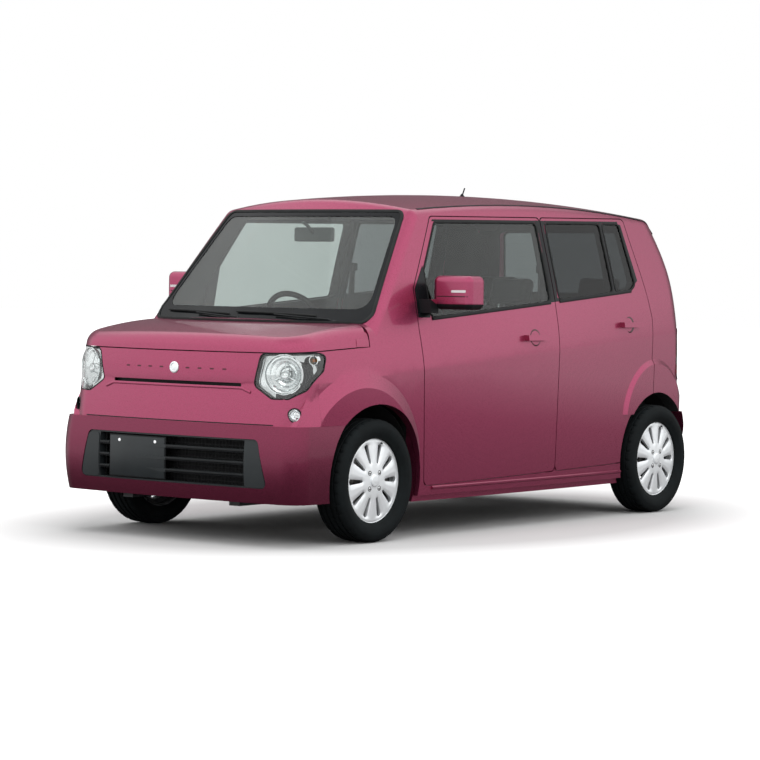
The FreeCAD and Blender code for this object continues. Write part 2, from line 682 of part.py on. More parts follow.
class Layers:
    """The body's nested forms, each made once."""
    made = {}

    @classmethod
    def solid(cls, depth):
        if depth not in cls.made:
            shape = hull(depth, depth == 0)
            if depth == 0:
                for brow in (front_flare(), rear_flare()):
                    shape = shape.fuse(brow).fuse(mirrored(brow))
            cls.made[depth] = shape
        return cls.made[depth]


def layer(space, outer_depth, inner_depth):
    """The part of the body's wall that lies in a space, between two depths."""
    return space.common(Layers.solid(outer_depth)).cut(Layers.solid(inner_depth))


def left_wall(outer_depth, inner_depth):
    """The left half of one layer of the body."""
    return layer(box(0, WIDTH, -LENGTH, LENGTH, 0, 2 * ROOF_Z), outer_depth, inner_depth)


def door_solid(outline, axle_y):
    """One left door: a skin of full outline and an inner part that is smaller all round."""
    skin = layer(side_prism(outline, DOOR_CORNER_R, HALF_W / 2, WIDTH), 0.0, DOOR_SKIN)
    inner_prism = side_prism(moved_out(outline, -DOOR_LAP), DOOR_CORNER_R / 2, HALF_W / 2, WIDTH)
    return skin.fuse(layer(inner_prism, DOOR_SKIN, WALL)).cut(arch(axle_y, ARCH_R, 0, WIDTH))


def door_opening(wall_skin, wall_inner, outline):
    """Cuts a stepped door opening into the skin and the inner layer of the body side."""
    outer_prism = side_prism(moved_out(outline, PANEL_GAP), DOOR_CORNER_R, HALF_W / 2, WIDTH)
    inner_prism = side_prism(moved_out(outline, PANEL_GAP - DOOR_LAP), DOOR_CORNER_R / 2, HALF_W / 2, WIDTH)
    return wall_skin.cut(outer_prism), wall_inner.cut(inner_prism)


def lamp_space(offset):
    """The space of the left headlamp, moved out all round by an offset."""
    points = moved_out(LAMP_OUTLINE, offset) if offset else LAMP_OUTLINE
    turn = math.radians(LAMP_TURN)
    across = V(math.cos(turn), math.sin(turn), 0)
    ahead = V(math.sin(turn), -math.cos(turn), 0)
    wire = rounded_wire([across * u + Z_DIR * z + ahead * LAMP_START for u, z in points],
                        LAMP_CORNER_R + offset)
    return Part.Face(wire).extrude(ahead * HALF_L)


def tail_lamp_space(offset):
    """The space of the left tail lamp, moved out all round by an offset."""
    points = moved_out(TAIL_LAMP_OUTLINE, offset) if offset else TAIL_LAMP_OUTLINE
    turn = math.radians(TAIL_LAMP_TURN)
    across = V(math.cos(turn), -math.sin(turn), 0)
    ahead = V(math.sin(turn), math.cos(turn), 0)
    corner = V(HALF_W, TAIL_Y, 0) - ahead * (LOW_CORNER_R * 3)
    wire = rounded_wire([corner + across * u + Z_DIR * z for u, z in points], TAIL_LAMP_CORNER_R + offset)
    return Part.Face(wire).extrude(ahead * HALF_L)


def screen_outline():
    """The windscreen's glass in the front view."""
    return [(-SCREEN_GLASS_LOW_X, SCREEN_GLASS_LOW_Z), (SCREEN_GLASS_LOW_X, SCREEN_GLASS_LOW_Z),
            (SCREEN_GLASS_HIGH_X, SCREEN_GLASS_HIGH_Z), (-SCREEN_GLASS_HIGH_X, SCREEN_GLASS_HIGH_Z)]


def screen_prism(offset):
    """The windscreen's glass seen from ahead, as a space moved out all round by an offset."""
    outline = moved_out(screen_outline(), offset) if offset else screen_outline()
    return front_prism(outline, SCREEN_GLASS_R, NOSE_Y - OVERRUN, SCREEN_HEAD_Y + OVERRUN / 2)


def gate_space(offset):
    """The space of the tailgate, moved out all round by an offset."""
    low = GATE_LOW_Z - offset
    wide, narrow = GATE_HALF_W + offset, GATE_TOP_HALF_W + offset
    outline = [(-wide, low), (wide, low), (wide, BELT_Z), (narrow, ROOF_Z), (-narrow, ROOF_Z),
               (-wide, BELT_Z)]
    behind = front_prism(outline, TAIL_LAMP_CORNER_R, HALF_L / 2, LENGTH)
    edge = GATE_TOP_Y - offset
    side = [(edge, 2 * ROOF_Z), (LENGTH, 2 * ROOF_Z), (LENGTH, 0), (HALF_L / 2, 0),
            (HALF_L / 2, RAIL_Z - WALL), (edge, RAIL_Z - WALL)]
    face = Part.Face(Part.makePolygon([V(-WIDTH, y, z) for y, z in side + side[:1]]))
    return behind.common(face.extrude(X_DIR * 2 * WIDTH))


def gate_window_prism(offset):
    """The tailgate's window seen from behind, as a space moved out all round by an offset."""
    outline = [(-GATE_WINDOW_HALF_W, GATE_WINDOW_LOW_Z), (GATE_WINDOW_HALF_W, GATE_WINDOW_LOW_Z),
               (GATE_WINDOW_TOP_HALF_W, GATE_WINDOW_HIGH_Z), (-GATE_WINDOW_TOP_HALF_W, GATE_WINDOW_HIGH_Z)]
    outline = moved_out(outline, offset) if offset else outline
    return front_prism(outline, TAIL_LAMP_CORNER_R, HALF_L / 2, LENGTH)


def front_bumper_form(inset):
    """The front bumper's outer form, ahead of the wheel arches."""
    block = bumper_block(BUMPER_TOP_Z, BUMPER_HALF_W, True, inset)
    ahead = box(-WIDTH, WIDTH, NOSE_Y - OVERRUN, FRONT_AXLE_Y, 0, ROOF_Z)
    return block.common(ahead)


def rear_bumper_form(inset):
    """The rear bumper's outer form, behind the wheel arches."""
    block = bumper_block(REAR_BUMPER_TOP_Z, REAR_BUMPER_HALF_W, False, inset)
    behind = box(-WIDTH, WIDTH, REAR_AXLE_Y, TAIL_Y + OVERRUN, 0, ROOF_Z)
    return block.common(behind)


def bonnet_space_cut(gap):
    """The bonnet's space: above its side edge and ahead of the windscreen."""
    ahead = NOSE_Y - OVERRUN
    rear = BONNET_SHUT_REAR_Y
    outline = [(ahead, bonnet_shut_z(NOSE_Y)), (NOSE_Y, bonnet_shut_z(NOSE_Y)), (rear, bonnet_shut_z(rear)),
               (rear, ROOF_Z), (ahead, ROOF_Z)]
    outline = moved_out(outline, gap) if gap else outline
    face = Part.Face(Part.makePolygon([V(-WIDTH, y, z) for y, z in outline + outline[:1]]))
    return face.extrude(X_DIR * 2 * WIDTH)


def make_doors():
    """The left doors with their handles, and the glass in them."""
    parts = {}
    spots = [("front", front_door_outline(), FRONT_AXLE_Y, [front_window_outline()],
              FRONT_HANDLE_Y, FRONT_HANDLE_Z),
             ("rear", rear_door_outline(), REAR_AXLE_Y, [rear_window_outline(), quarter_window_outline()],
              REAR_HANDLE_Y, REAR_HANDLE_Z)]
    for end, outline, axle_y, panes, handle_y, handle_z in spots:
        door = door_solid(outline, axle_y)
        glass = []
        for pane in panes:
            door = door.cut(side_prism(pane, WINDOW_R, HALF_W / 2, WIDTH))
            space = side_prism(moved_out(pane, -FIT), WINDOW_R - FIT, HALF_W / 2, WIDTH)
            glass += layer(space, GLASS_INSET, GLASS_INSET + GLASS_THICK).Solids
        parts[end + "_door_left"] = door.fuse(handle(handle_y, handle_z))
        parts[end + "_door_glass_left"] = Part.makeCompound(glass)
    return parts


def make_side_body():
    """The left body side: pillars, rail, sill and rear quarter, with stepped door openings."""
    skin = left_wall(0.0, DOOR_SKIN + DOOR_STEP)
    inner = left_wall(DOOR_SKIN + DOOR_STEP, WALL)
    skin = skin.cut(box(0, WIDTH, NOSE_Y - OVERRUN, FENDER_REAR_Y, 0, PILLAR_FOOT_Z))
    inner = inner.cut(box(0, WIDTH, NOSE_Y - OVERRUN, HINGE_PILLAR_Y, 0, PILLAR_FOOT_Z))
    for outline in (front_door_outline(), rear_door_outline()):
        skin, inner = door_opening(skin, inner, outline)
    side = skin.fuse(inner)
    cutters = [
        box(0, PILLAR_INNER_X, NOSE_Y, HINGE_PILLAR_Y, 0, ROOF_PANEL_LOW_Z),
        box(0, ROOF_PANEL_HALF_W, NOSE_Y, TAIL_Y, ROOF_PANEL_LOW_Z, 2 * ROOF_Z),
        screen_prism(0), gate_space(PANEL_GAP), arch(REAR_AXLE_Y, ARCH_R, 0, WIDTH),
        arch(FRONT_AXLE_Y, ARCH_R, 0, WIDTH),
        box(0, WIDTH, REAR_AXLE_Y, TAIL_Y, 0, REAR_BUMPER_TOP_Z + CLEAR),
        box(0, GATE_HALF_W - CLEAR, REAR_AXLE_Y, TAIL_Y, 0, GATE_LOW_Z),
        tail_lamp_space(FIT), bonnet_space_cut(PANEL_GAP),
    ]
    for cutter in cutters:
        side = side.cut(cutter)
    return side


def make_roof():
    """The roof panel between the rails, the windscreen and the tailgate."""
    span = ROOF_PANEL_HALF_W - CLEAR
    space = box(-span, span, NOSE_Y / 2, TAIL_Y, ROOF_PANEL_LOW_Z, ROOF_Z + OVERRUN)
    space = space.cut(screen_prism(0)).cut(gate_space(PANEL_GAP))
    return layer(space, 0.0, DOOR_SKIN + DOOR_STEP)


def make_fender():
    """The left front fender, from the bumper to the door and up to the bonnet."""
    inner_x = HALF_W * FENDER_INNER_SHARE
    space = box(inner_x, WIDTH, FENDER_SEAM_Y, FENDER_REAR_Y, SILL_Z, PILLAR_FOOT_Z)
    space = space.cut(box(0, WIDTH, NOSE_Y, FRONT_AXLE_Y, 0, BUMPER_TOP_Z + CLEAR))
    space = space.cut(arch(FRONT_AXLE_Y, ARCH_R, 0, WIDTH))
    space = space.cut(bonnet_space_cut(PANEL_GAP)).cut(lamp_space(FIT))
    space = space.cut(side_prism(moved_out(front_door_outline(), PANEL_GAP), DOOR_CORNER_R, 0, WIDTH))
    return layer(space, 0.0, DOOR_SKIN)


def make_cowl(side, fenders):
    """The cowl between the bonnet's rear edge and the windscreen, which also carries the glass's foot."""
    space = box(-COWL_HALF_W, COWL_HALF_W, NOSE_Y, FIREWALL_HIGH_Y, COWL_LOW_Z, COWL_HIGH_Z)
    space = space.common(screen_space(-COWL_DEPTH / 2 + PANEL_GAP))
    return layer(space, COWL_DEPTH / 5, COWL_DEPTH).cut(side).cut(mirrored(side)).cut(fenders)


def grille_outline():
    """The lower grille's opening in the front view."""
    return [(-GRILLE_HALF_W, GRILLE_LOW_Z), (GRILLE_HALF_W, GRILLE_LOW_Z),
            (GRILLE_TOP_HALF_W, GRILLE_TOP_Z), (-GRILLE_TOP_HALF_W, GRILLE_TOP_Z)]


def make_front_bumper():
    """The front bumper with the nose panel between the headlamps."""
    bumper = front_bumper_form(0.0).cut(front_bumper_form(BUMPER_DEPTH)).cut(lower_block(BUMPER_DEPTH))
    space = box(-WIDTH, WIDTH, NOSE_Y - OVERRUN, FENDER_SEAM_Y - CLEAR, BUMPER_TOP_Z - BUMPER_DEPTH, ROOF_Z)
    bumper = bumper.fuse(layer(space.cut(bonnet_space_cut(PANEL_GAP)), 0.0, DOOR_SKIN))
    slit = [(-SLIT_HALF_W, SLIT_Z - SLIT_H / 2), (SLIT_HALF_W, SLIT_Z - SLIT_H / 2),
            (SLIT_HALF_W, SLIT_Z + SLIT_H / 2), (-SLIT_HALF_W, SLIT_Z + SLIT_H / 2)]
    bumper = bumper.cut(front_prism(grille_outline(), DOOR_CORNER_R, NOSE_Y - OVERRUN, FENDER_SEAM_Y))
    bumper = bumper.cut(front_prism(slit, SLIT_H / 3, NOSE_Y - OVERRUN, FENDER_SEAM_Y))
    for cutter in (arch(FRONT_AXLE_Y, ARCH_R, 0, WIDTH), lamp_space(FIT), fog_space(FIT)):
        bumper = bumper.cut(cutter).cut(mirrored(cutter))
    return bumper


def make_grille():
    """The grille insert: a dark frame with slats between two closed ends."""
    insert = front_bumper_form(PANEL_GAP).cut(front_bumper_form(BUMPER_DEPTH - PANEL_GAP))
    insert = insert.common(front_prism(moved_out(grille_outline(), -FIT), DOOR_CORNER_R, NOSE_Y - OVERRUN,
                                       FENDER_SEAM_Y))
    pitch = (GRILLE_TOP_Z - GRILLE_LOW_Z) / SLAT_COUNT
    for i in range(SLAT_COUNT):
        low = GRILLE_LOW_Z + i * pitch + SLAT_H / 2
        insert = insert.cut(box(-INSERT_INNER_X, INSERT_INNER_X, NOSE_Y - OVERRUN, FENDER_SEAM_Y, low,
                                low + pitch - SLAT_H))
    return insert


def make_rear_bumper():
    """The rear bumper with the shelf under the tailgate."""
    bumper = rear_bumper_form(0.0).cut(rear_bumper_form(BUMPER_DEPTH)).cut(lower_block(BUMPER_DEPTH))
    half = GATE_HALF_W - FIT - CLEAR
    space = box(-half, half, REAR_AXLE_Y, TAIL_Y, REAR_BUMPER_TOP_Z - BUMPER_DEPTH, GATE_LOW_Z - PANEL_GAP)
    bumper = bumper.fuse(layer(space, 0.0, DOOR_SKIN))
    cutter = arch(REAR_AXLE_Y, ARCH_R, 0, WIDTH)
    return bumper.cut(cutter).cut(mirrored(cutter))


def fog_space(offset):
    """The space of the left round lamp in the bumper."""
    turn = math.radians(FOG_TURN)
    ahead = V(math.sin(turn), -math.cos(turn), 0)
    centre = V(FOG_X, FOG_Y, FOG_Z)
    return rod(centre - ahead * OVERRUN / 4, centre + ahead * OVERRUN, FOG_R + offset)


def make_body():
    """All the painted panels, their glass and the lamps."""
    parts = make_doors()
    parts["side_body_left"] = make_side_body()
    parts["mirror_left"] = make_mirror()
    for name in list(parts):
        parts[name.replace("left", "right")] = mirrored(parts[name])
    parts["roof_panel"] = make_roof()
    behind = screen_prism(-FIT).common(screen_space(GLASS_INSET / 2))
    parts["windscreen"] = layer(behind, GLASS_INSET, GLASS_INSET + GLASS_THICK)
    parts["tailgate"] = layer(gate_space(0).cut(gate_window_prism(0)), 0.0, WALL)
    parts["tailgate_glass"] = layer(gate_window_prism(-FIT), GLASS_INSET, GLASS_INSET + GLASS_THICK)
    parts["front_fenders"] = both_sides(make_fender())
    parts["bonnet"] = layer(bonnet_space_cut(0).cut(screen_space(-COWL_DEPTH / 2)), 0.0, LID_THICK)
    parts["cowl"] = make_cowl(parts["side_body_left"], parts["front_fenders"])
    parts["front_bumper"] = make_front_bumper()
    parts["front_grille"] = make_grille()
    parts["rear_bumper"] = make_rear_bumper()
    parts["headlamp_lenses"] = both_sides(layer(lamp_space(0), 0.0, LENS_THICK))
    parts["headlamp_housings"] = both_sides(layer(lamp_space(-FIT), LENS_THICK + LENS_GAP, LAMP_DEPTH))
    parts["fog_lamps"] = both_sides(layer(fog_space(-FIT), GLASS_INSET, DOOR_SKIN))
    tail_lamp = tail_lamp_space(0).cut(gate_space(PANEL_GAP))
    parts["tail_lamps"] = both_sides(layer(tail_lamp, 0.0, TAIL_LAMP_THICK))
    parts["antenna"] = make_antenna()
    return parts


# Doors, handles and mirrors

def handle(y, z):
    """A pull handle: a bar that stands off the door skin on two feet."""
    low = box(BELT_HALF_W, WIDTH, y - HANDLE_L / 2, y + HANDLE_L / 2, z - HANDLE_H / 2, z + HANDLE_H / 2)
    bar = low.common(lower_block(-HANDLE_OUT).fuse(upper_block(-HANDLE_OUT)))
    hollow = box(BELT_HALF_W, WIDTH, y - HANDLE_L / 2 + HANDLE_H, y + HANDLE_L / 2 - HANDLE_H,
                 z - HANDLE_H, z + HANDLE_H)
    inner = -HANDLE_OUT + HANDLE_H / 2
    hollow = hollow.common(lower_block(inner).fuse(upper_block(inner)))
    return bar.cut(hollow)


def make_antenna():
    """The short roof antenna and its base."""
    foot = V(0, ANTENNA_Y, ROOF_Z)
    tip = foot + V(0, ANTENNA_LEAN, ANTENNA_L)
    base = Part.makeCone(ANTENNA_BASE_R, ANTENNA_R, ANTENNA_R * 5, foot)
    return base.fuse(rod(foot + Z_DIR * ANTENNA_R, tip, ANTENNA_R)).removeSplitter()


def make_mirror():
    """The left door mirror: a rounded head on a foot that meets the door's glass corner."""
    head = box(MIRROR_X0, MIRROR_X1, MIRROR_Y0, MIRROR_Y1, MIRROR_Z0, MIRROR_Z1)
    head = head.makeFillet(MIRROR_R, head.Edges)
    glass_in = MIRROR_R / 3
    head = head.cut(box(MIRROR_X0 + glass_in, MIRROR_X1 - glass_in, MIRROR_Y1 - TRIM_IN, MIRROR_Y1 + MIRROR_R,
                        MIRROR_Z0 + glass_in, MIRROR_Z1 - glass_in))
    foot = box(BELT_HALF_W * MIRROR_FOOT_SHARE, MIRROR_X0 + MIRROR_R, MIRROR_FOOT_Y, MIRROR_Y0 + MIRROR_R / 2,
               MIRROR_FOOT_Z, MIRROR_Z0 + MIRROR_R * 3 / 2)
    return head.fuse(foot.cut(Layers.solid(0.0))).removeSplitter()


# Underbody

def inside(shape):
    """A shape trimmed to the space between the body's walls, below the crease."""
    return shape.common(lower_block(WALL + CLEAR))


def make_floor():
    """The floor with its tunnel, the step up under the rear seat and the luggage floor."""
    half = TUNNEL_W / 2
    low, top = FLOOR_Z, FLOOR_Z + FLOOR_THICK
    step_z = REAR_FLOOR_Z + FLOOR_THICK
    rear_y = REAR_FLOOR_Y + FLOOR_THICK
    front = FIREWALL_Y - FIREWALL_THICK
    end = TAIL_Y - BUMPER_DEPTH - 2 * WALL
    wide = HALF_W
    pieces = [box(-wide, -half, front, rear_y, low, top), box(half, wide, front, rear_y, low, top)]
    roof_z = low + TUNNEL_H
    pieces.append(box(-half, half, front, rear_y, roof_z, roof_z + FLOOR_THICK))
    for x in (-half, half - FLOOR_THICK):
        pieces.append(box(x, x + FLOOR_THICK, front, rear_y, low, roof_z + FLOOR_THICK))
    for x0, x1 in ((-wide, -half), (half, wide)):
        pieces.append(box(x0, x1, REAR_FLOOR_Y, rear_y, low, step_z))
    pieces.append(box(-half, half, REAR_FLOOR_Y, rear_y, roof_z, step_z))
    pieces.append(box(-wide, wide, REAR_FLOOR_Y, end, REAR_FLOOR_Z, step_z))
    floor = inside(fused(pieces))
    reach = ARCH_R + HOUSING_THICK + CLEAR
    for side in (-1, 1):
        x0 = (REAR_HOUSING_INNER_X - HOUSING_THICK - CLEAR) * side
        near, far = sorted((x0, wide * side))
        floor = floor.cut(arch_between(REAR_AXLE_Y, reach, near, far))
        floor = floor.cut(box(near, far, REAR_AXLE_Y - reach, REAR_AXLE_Y + reach, 0, TYRE_R + ARCH_RISE))
        near, far = sorted(((FRONT_HOUSING_INNER_X - CLEAR) * side, wide * side))
        floor = floor.cut(arch_between(FRONT_AXLE_Y, reach, near, far))
    return floor


def arch_between(axle_y, radius, x0, x1):
    """A round space about an axle between two planes across the car."""
    return Part.makeCylinder(radius, x1 - x0, V(x0, axle_y, TYRE_R + ARCH_RISE), X_DIR)


def make_firewall():
    """The wall ahead of the cabin: upright behind the wheels, a shelf, and up to the cowl."""
    thick = FIREWALL_THICK
    y0, y1 = FIREWALL_Y - thick, FIREWALL_Y
    z0, z1 = FLOOR_Z + FLOOR_THICK + CLEAR, FIREWALL_SHELF_Z
    high_y, high_z = FIREWALL_HIGH_Y, COWL_LOW_Z + COWL_DEPTH
    outline = [(y0, z0), (y1, z0), (y1, z1 + thick), (high_y, z1 + thick), (high_y, high_z),
               (high_y - thick, high_z), (high_y - thick, z1), (y0, z1)]
    face = Part.Face(Part.makePolygon([V(-HALF_W, y, z) for y, z in outline + outline[:1]]))
    wall = face.extrude(X_DIR * WIDTH)
    half = TUNNEL_W / 2 + CLEAR
    wall = wall.cut(box(-half, half, y0 - thick, y1 + thick, 0, FLOOR_Z + TUNNEL_H + FLOOR_THICK + CLEAR))
    wall = wall.common(Layers.solid(WALL))
    reach = ARCH_R + HOUSING_THICK + CLEAR
    inner_x = FRONT_HOUSING_INNER_X - HOUSING_THICK - CLEAR
    for x0, x1 in ((-HALF_W, -inner_x), (inner_x, HALF_W)):
        wall = wall.cut(arch_between(FRONT_AXLE_Y, reach, x0, x1))
    for x in (-TOWER_X, TOWER_X):
        wall = wall.cut(rod(V(x, FRONT_AXLE_Y, 0), V(x, FRONT_AXLE_Y, ROOF_Z),
                            TOWER_R + HOUSING_THICK + CLEAR))
    return wall


def make_housing(axle_y, inner_x, outer_in):
    """One left wheel housing: a thin curved roof and a closed inner side."""
    outer_x = HALF_W
    ring = arch_between(axle_y, ARCH_R + HOUSING_THICK, inner_x - HOUSING_THICK, outer_x)
    ring = ring.cut(arch_between(axle_y, ARCH_R, inner_x, outer_x + WIDTH))
    ring = ring.cut(box(0, WIDTH, NOSE_Y, TAIL_Y, 0, HOUSING_LOW_Z))
    return ring.common(lower_block(outer_in))


def make_front_housings():
    """Both front wheel housings with their strut towers."""
    shell = make_housing(FRONT_AXLE_Y, FRONT_HOUSING_INNER_X, WALL + CLEAR)
    foot, head = V(TOWER_X, FRONT_AXLE_Y, SPRING_LOW_Z - SPRING_R), V(TOWER_X, FRONT_AXLE_Y, TOWER_TOP_Z)
    bore_head = head - Z_DIR * FIREWALL_THICK
    keep = arch_between(FRONT_AXLE_Y, ARCH_R, 0, WIDTH)
    tower = rod(foot, head, TOWER_R + HOUSING_THICK).cut(keep)
    shell = shell.fuse(tower).cut(rod(foot - Z_DIR * ARCH_R, bore_head, TOWER_R))
    shaft = rod(V(0, FRONT_AXLE_Y, TYRE_R), V(HALF_W, FRONT_AXLE_Y, TYRE_R), SHAFT_HOLE_R)
    slot = box(0, HALF_W, KNUCKLE_SLOT_Y0, KNUCKLE_SLOT_Y1, 0, KNUCKLE_SLOT_Z)
    return both_sides(shell.cut(shaft).cut(slot))


def make_rear_housings():
    """Both rear wheel housings."""
    shell = make_housing(REAR_AXLE_Y, REAR_HOUSING_INNER_X, WALL + CLEAR)
    slot = box(0, HALF_W, TRAIL_Y, DAMPER_Y + 2 * DAMPER_TILT, 0, TYRE_R + REAR_BEAM_R * 2)
    return both_sides(shell.cut(slot))


def make_front_struts():
    """Both front struts with a plain stand-in for each coil spring."""
    foot = V(TOWER_X, FRONT_AXLE_Y, STRUT_FOOT_Z)
    head = V(TOWER_X, FRONT_AXLE_Y, TOWER_TOP_Z - FIREWALL_THICK - FIT)
    spring = rod(V(TOWER_X, FRONT_AXLE_Y, SPRING_LOW_Z), head, SPRING_R)
    boss_z = NECK_Z1 + FIT
    half = BALL_R * 2 / 3
    bracket = box(TOWER_X, KINGPIN_X, FRONT_AXLE_Y - half, FRONT_AXLE_Y + half, boss_z, boss_z + STRUT_BOSS_H)
    boss = rod(V(KINGPIN_X, FRONT_AXLE_Y, boss_z), V(KINGPIN_X, FRONT_AXLE_Y, boss_z + STRUT_BOSS_H), BALL_R)
    return both_sides(fused([rod(foot, head, STRUT_R), spring, bracket, boss]))


def make_front_cradle():
    """The front cross-member with a lower arm out to each wheel."""
    cradle = box(-CRADLE_HALF_W, CRADLE_HALF_W, CRADLE_Y0, CRADLE_Y1, CRADLE_Z0, CRADLE_Z1)
    pieces = [cradle]
    for x in (-RAIL_X1, RAIL_X0):
        pieces.append(box(x, x + RAIL_X1 - RAIL_X0, RAIL_FRONT_Y, RAIL_REAR_Y, CRADLE_Z0, FLOOR_Z - FIT))
    for side in (-1, 1):
        tip = V(ARM_TIP_X * side, FRONT_AXLE_Y, ARM_Z)
        for y in (CRADLE_Y0 + ARM_R * 2, CRADLE_Y1 - ARM_R * 2):
            pieces.append(rod(V(ARM_FOOT_X * side, y, ARM_Z + ARM_R), tip, ARM_R))
        pieces.append(rod(tip - Z_DIR * ARM_R, tip + Z_DIR * (ARM_R + BALL_SEAT_H), BALL_R))
    return fused(pieces)


def make_radiator():
    """The radiator behind the grille, on the front ends of the cross-member's rails."""
    return box(-RADIATOR_HALF_W, RADIATOR_HALF_W, RADIATOR_Y0, RADIATOR_Y1, FLOOR_Z, RADIATOR_Z1)


def make_knuckle():
    """The left front hub carrier with its neck, steering arm, spindle and brake caliper."""
    axle = V(0, FRONT_AXLE_Y, TYRE_R)
    pieces = [rod(axle + X_DIR * CARRIER_X0, axle + X_DIR * CARRIER_X1, CARRIER_R)]
    pieces.append(box(NECK_X0, NECK_X1, FRONT_AXLE_Y - NECK_HALF_L, FRONT_AXLE_Y + NECK_HALF_L,
                      NECK_Z0, NECK_Z1))
    pieces.append(rod(axle + X_DIR * NECK_X0, axle + X_DIR * CARRIER_X1, NECK_HALF_L))
    pieces.append(rod(axle + X_DIR * CARRIER_X0, axle + X_DIR * (HUB_FACE_X + SPINDLE_L), SPINDLE_R))
    pin_z = ARM_Z + ARM_R + BALL_SEAT_H + FIT
    pieces.append(rod(V(KINGPIN_X, FRONT_AXLE_Y, pin_z), V(KINGPIN_X, FRONT_AXLE_Y, TYRE_R), BALL_R))
    arm_end = V(KNUCKLE_ARM_X, FRONT_AXLE_Y + KNUCKLE_ARM_Y, KNUCKLE_ARM_Z)
    pieces.append(rod(V(KNUCKLE_ARM_X, FRONT_AXLE_Y, KNUCKLE_ARM_Z), arm_end, ARM_R * 2 / 3))
    pieces.append(rod(arm_end - Z_DIR * ARM_R, arm_end + Z_DIR * ARM_R * 2 / 3, BALL_R))
    disc_x0, disc_x1 = HUB_FACE_X - DISC_THICK - PANEL_GAP, HUB_FACE_X + PANEL_GAP
    bridge = box((CARRIER_X0 + CARRIER_X1) / 2, disc_x1 + DISC_THICK, FRONT_AXLE_Y + DISC_R - CALIPER_L / 2,
                 FRONT_AXLE_Y + DISC_R + CALIPER_L / 3, TYRE_R - CALIPER_H / 2, TYRE_R + CALIPER_H / 2)
    slot = rod(V(disc_x0, FRONT_AXLE_Y, TYRE_R), V(disc_x1, FRONT_AXLE_Y, TYRE_R), DISC_R + PANEL_GAP)
    bridge = bridge.common(rod(axle, axle + X_DIR * WIDTH, RIM_R - RIM_THICK * 4)).cut(slot)
    pieces.append(bridge)
    pieces.append(box(CARRIER_X0, CARRIER_X1, FRONT_AXLE_Y, FRONT_AXLE_Y + DISC_R - CALIPER_L / 4,
                      TYRE_R - NECK_HALF_L, TYRE_R + NECK_HALF_L))
    return fused(pieces)


def make_rack():
    """The steering rack: a bar across the car with an eye above each knuckle arm."""
    y = FRONT_AXLE_Y + KNUCKLE_ARM_Y
    pieces = [rod(V(-KNUCKLE_ARM_X, y, RACK_Z), V(KNUCKLE_ARM_X, y, RACK_Z), RACK_R)]
    for side in (-1, 1):
        eye = V(KNUCKLE_ARM_X * side, y, RACK_Z)
        pieces.append(rod(eye - Z_DIR * RACK_EYE_H, eye + Z_DIR * RACK_EYE_H, BALL_R))
    return fused(pieces)


def make_rack_housing():
    """The rack's fixed tube between the wheels, on two feet that stand on the cross-member."""
    y = FRONT_AXLE_Y + KNUCKLE_ARM_Y
    tube = rod(V(-RACK_TUBE_HALF_L, y, RACK_Z), V(RACK_TUBE_HALF_L, y, RACK_Z), RACK_TUBE_R)
    for side in (-1, 1):
        x = RACK_TUBE_HALF_L * side * RACK_FOOT_SHARE
        tube = tube.fuse(box(x - RACK_TUBE_R, x + RACK_TUBE_R, y - RACK_TUBE_R, y + RACK_TUBE_R / 2,
                             CRADLE_Z1 + CLEAR, RACK_Z))
    bore = rod(V(-HALF_W, y, RACK_Z), V(HALF_W, y, RACK_Z), RACK_R + SPINDLE_FIT)
    return tube.removeSplitter().cut(bore)


def make_rear_axle():
    """The rigid rear axle with trailing arms, a spindle and a brake plate at each end."""
    y, z = REAR_AXLE_Y, TYRE_R
    pieces = [rod(V(-REAR_BEAM_X, y, z), V(REAR_BEAM_X, y, z), REAR_BEAM_R)]
    for side in (-1, 1):
        tip = (HUB_FACE_X + SPINDLE_L) * side
        pieces.append(rod(V((REAR_BEAM_X - REAR_BEAM_R) * side, y, z), V(tip, y, z), SPINDLE_R))
        pieces.append(rod(V(TRAIL_X * side, TRAIL_Y, TRAIL_Z), V(TRAIL_X * side, y, z), TRAIL_R))
        pieces.append(rod(V((TRAIL_X - TRAIL_R * 2) * side, TRAIL_Y, TRAIL_Z),
                          V((TRAIL_X + TRAIL_R * 2) * side, TRAIL_Y, TRAIL_Z), TRAIL_R * 4 / 3))
        pieces.append(rod(V(REAR_BEAM_X * side, y, z), V((REAR_BEAM_X + HOUSING_THICK) * side, y, z), DRUM_R))
        seat = V(REAR_SPRING_X * side, REAR_SPRING_Y, z - REAR_BEAM_R / 2)
        pieces.append(rod(seat, seat + Z_DIR * HOUSING_THICK * 2, REAR_SPRING_R))
        pieces.append(box(min(seat.x - TRAIL_R, seat.x + TRAIL_R), max(seat.x - TRAIL_R, seat.x + TRAIL_R),
                          REAR_SPRING_Y, y, seat.z, seat.z + HOUSING_THICK * 2))
        foot = V(DAMPER_X * side, DAMPER_Y, z)
        pieces.append(box(min(foot.x - TRAIL_R, foot.x + TRAIL_R), max(foot.x - TRAIL_R, foot.x + TRAIL_R),
                          y, DAMPER_Y + TRAIL_R, z - HOUSING_THICK, z + HOUSING_THICK))
    return fused(pieces)


def make_rear_springs():
    """Both rear coil springs as plain stand-ins."""
    low = TYRE_R - REAR_BEAM_R / 2 + HOUSING_THICK * 2 + FIT
    seat = V(REAR_SPRING_X, REAR_SPRING_Y, low)
    return both_sides(rod(seat, V(seat.x, seat.y, REAR_FLOOR_Z - FIT), REAR_SPRING_R * 4 / 5))


def make_rear_dampers():
    """Both rear dampers, which lean and reach up into pockets ahead of the tail."""
    foot = V(DAMPER_X, DAMPER_Y, TYRE_R + HOUSING_THICK + FIT)
    return both_sides(rod(foot, V(DAMPER_X, DAMPER_Y, REAR_FLOOR_Z - FIT), DAMPER_R))


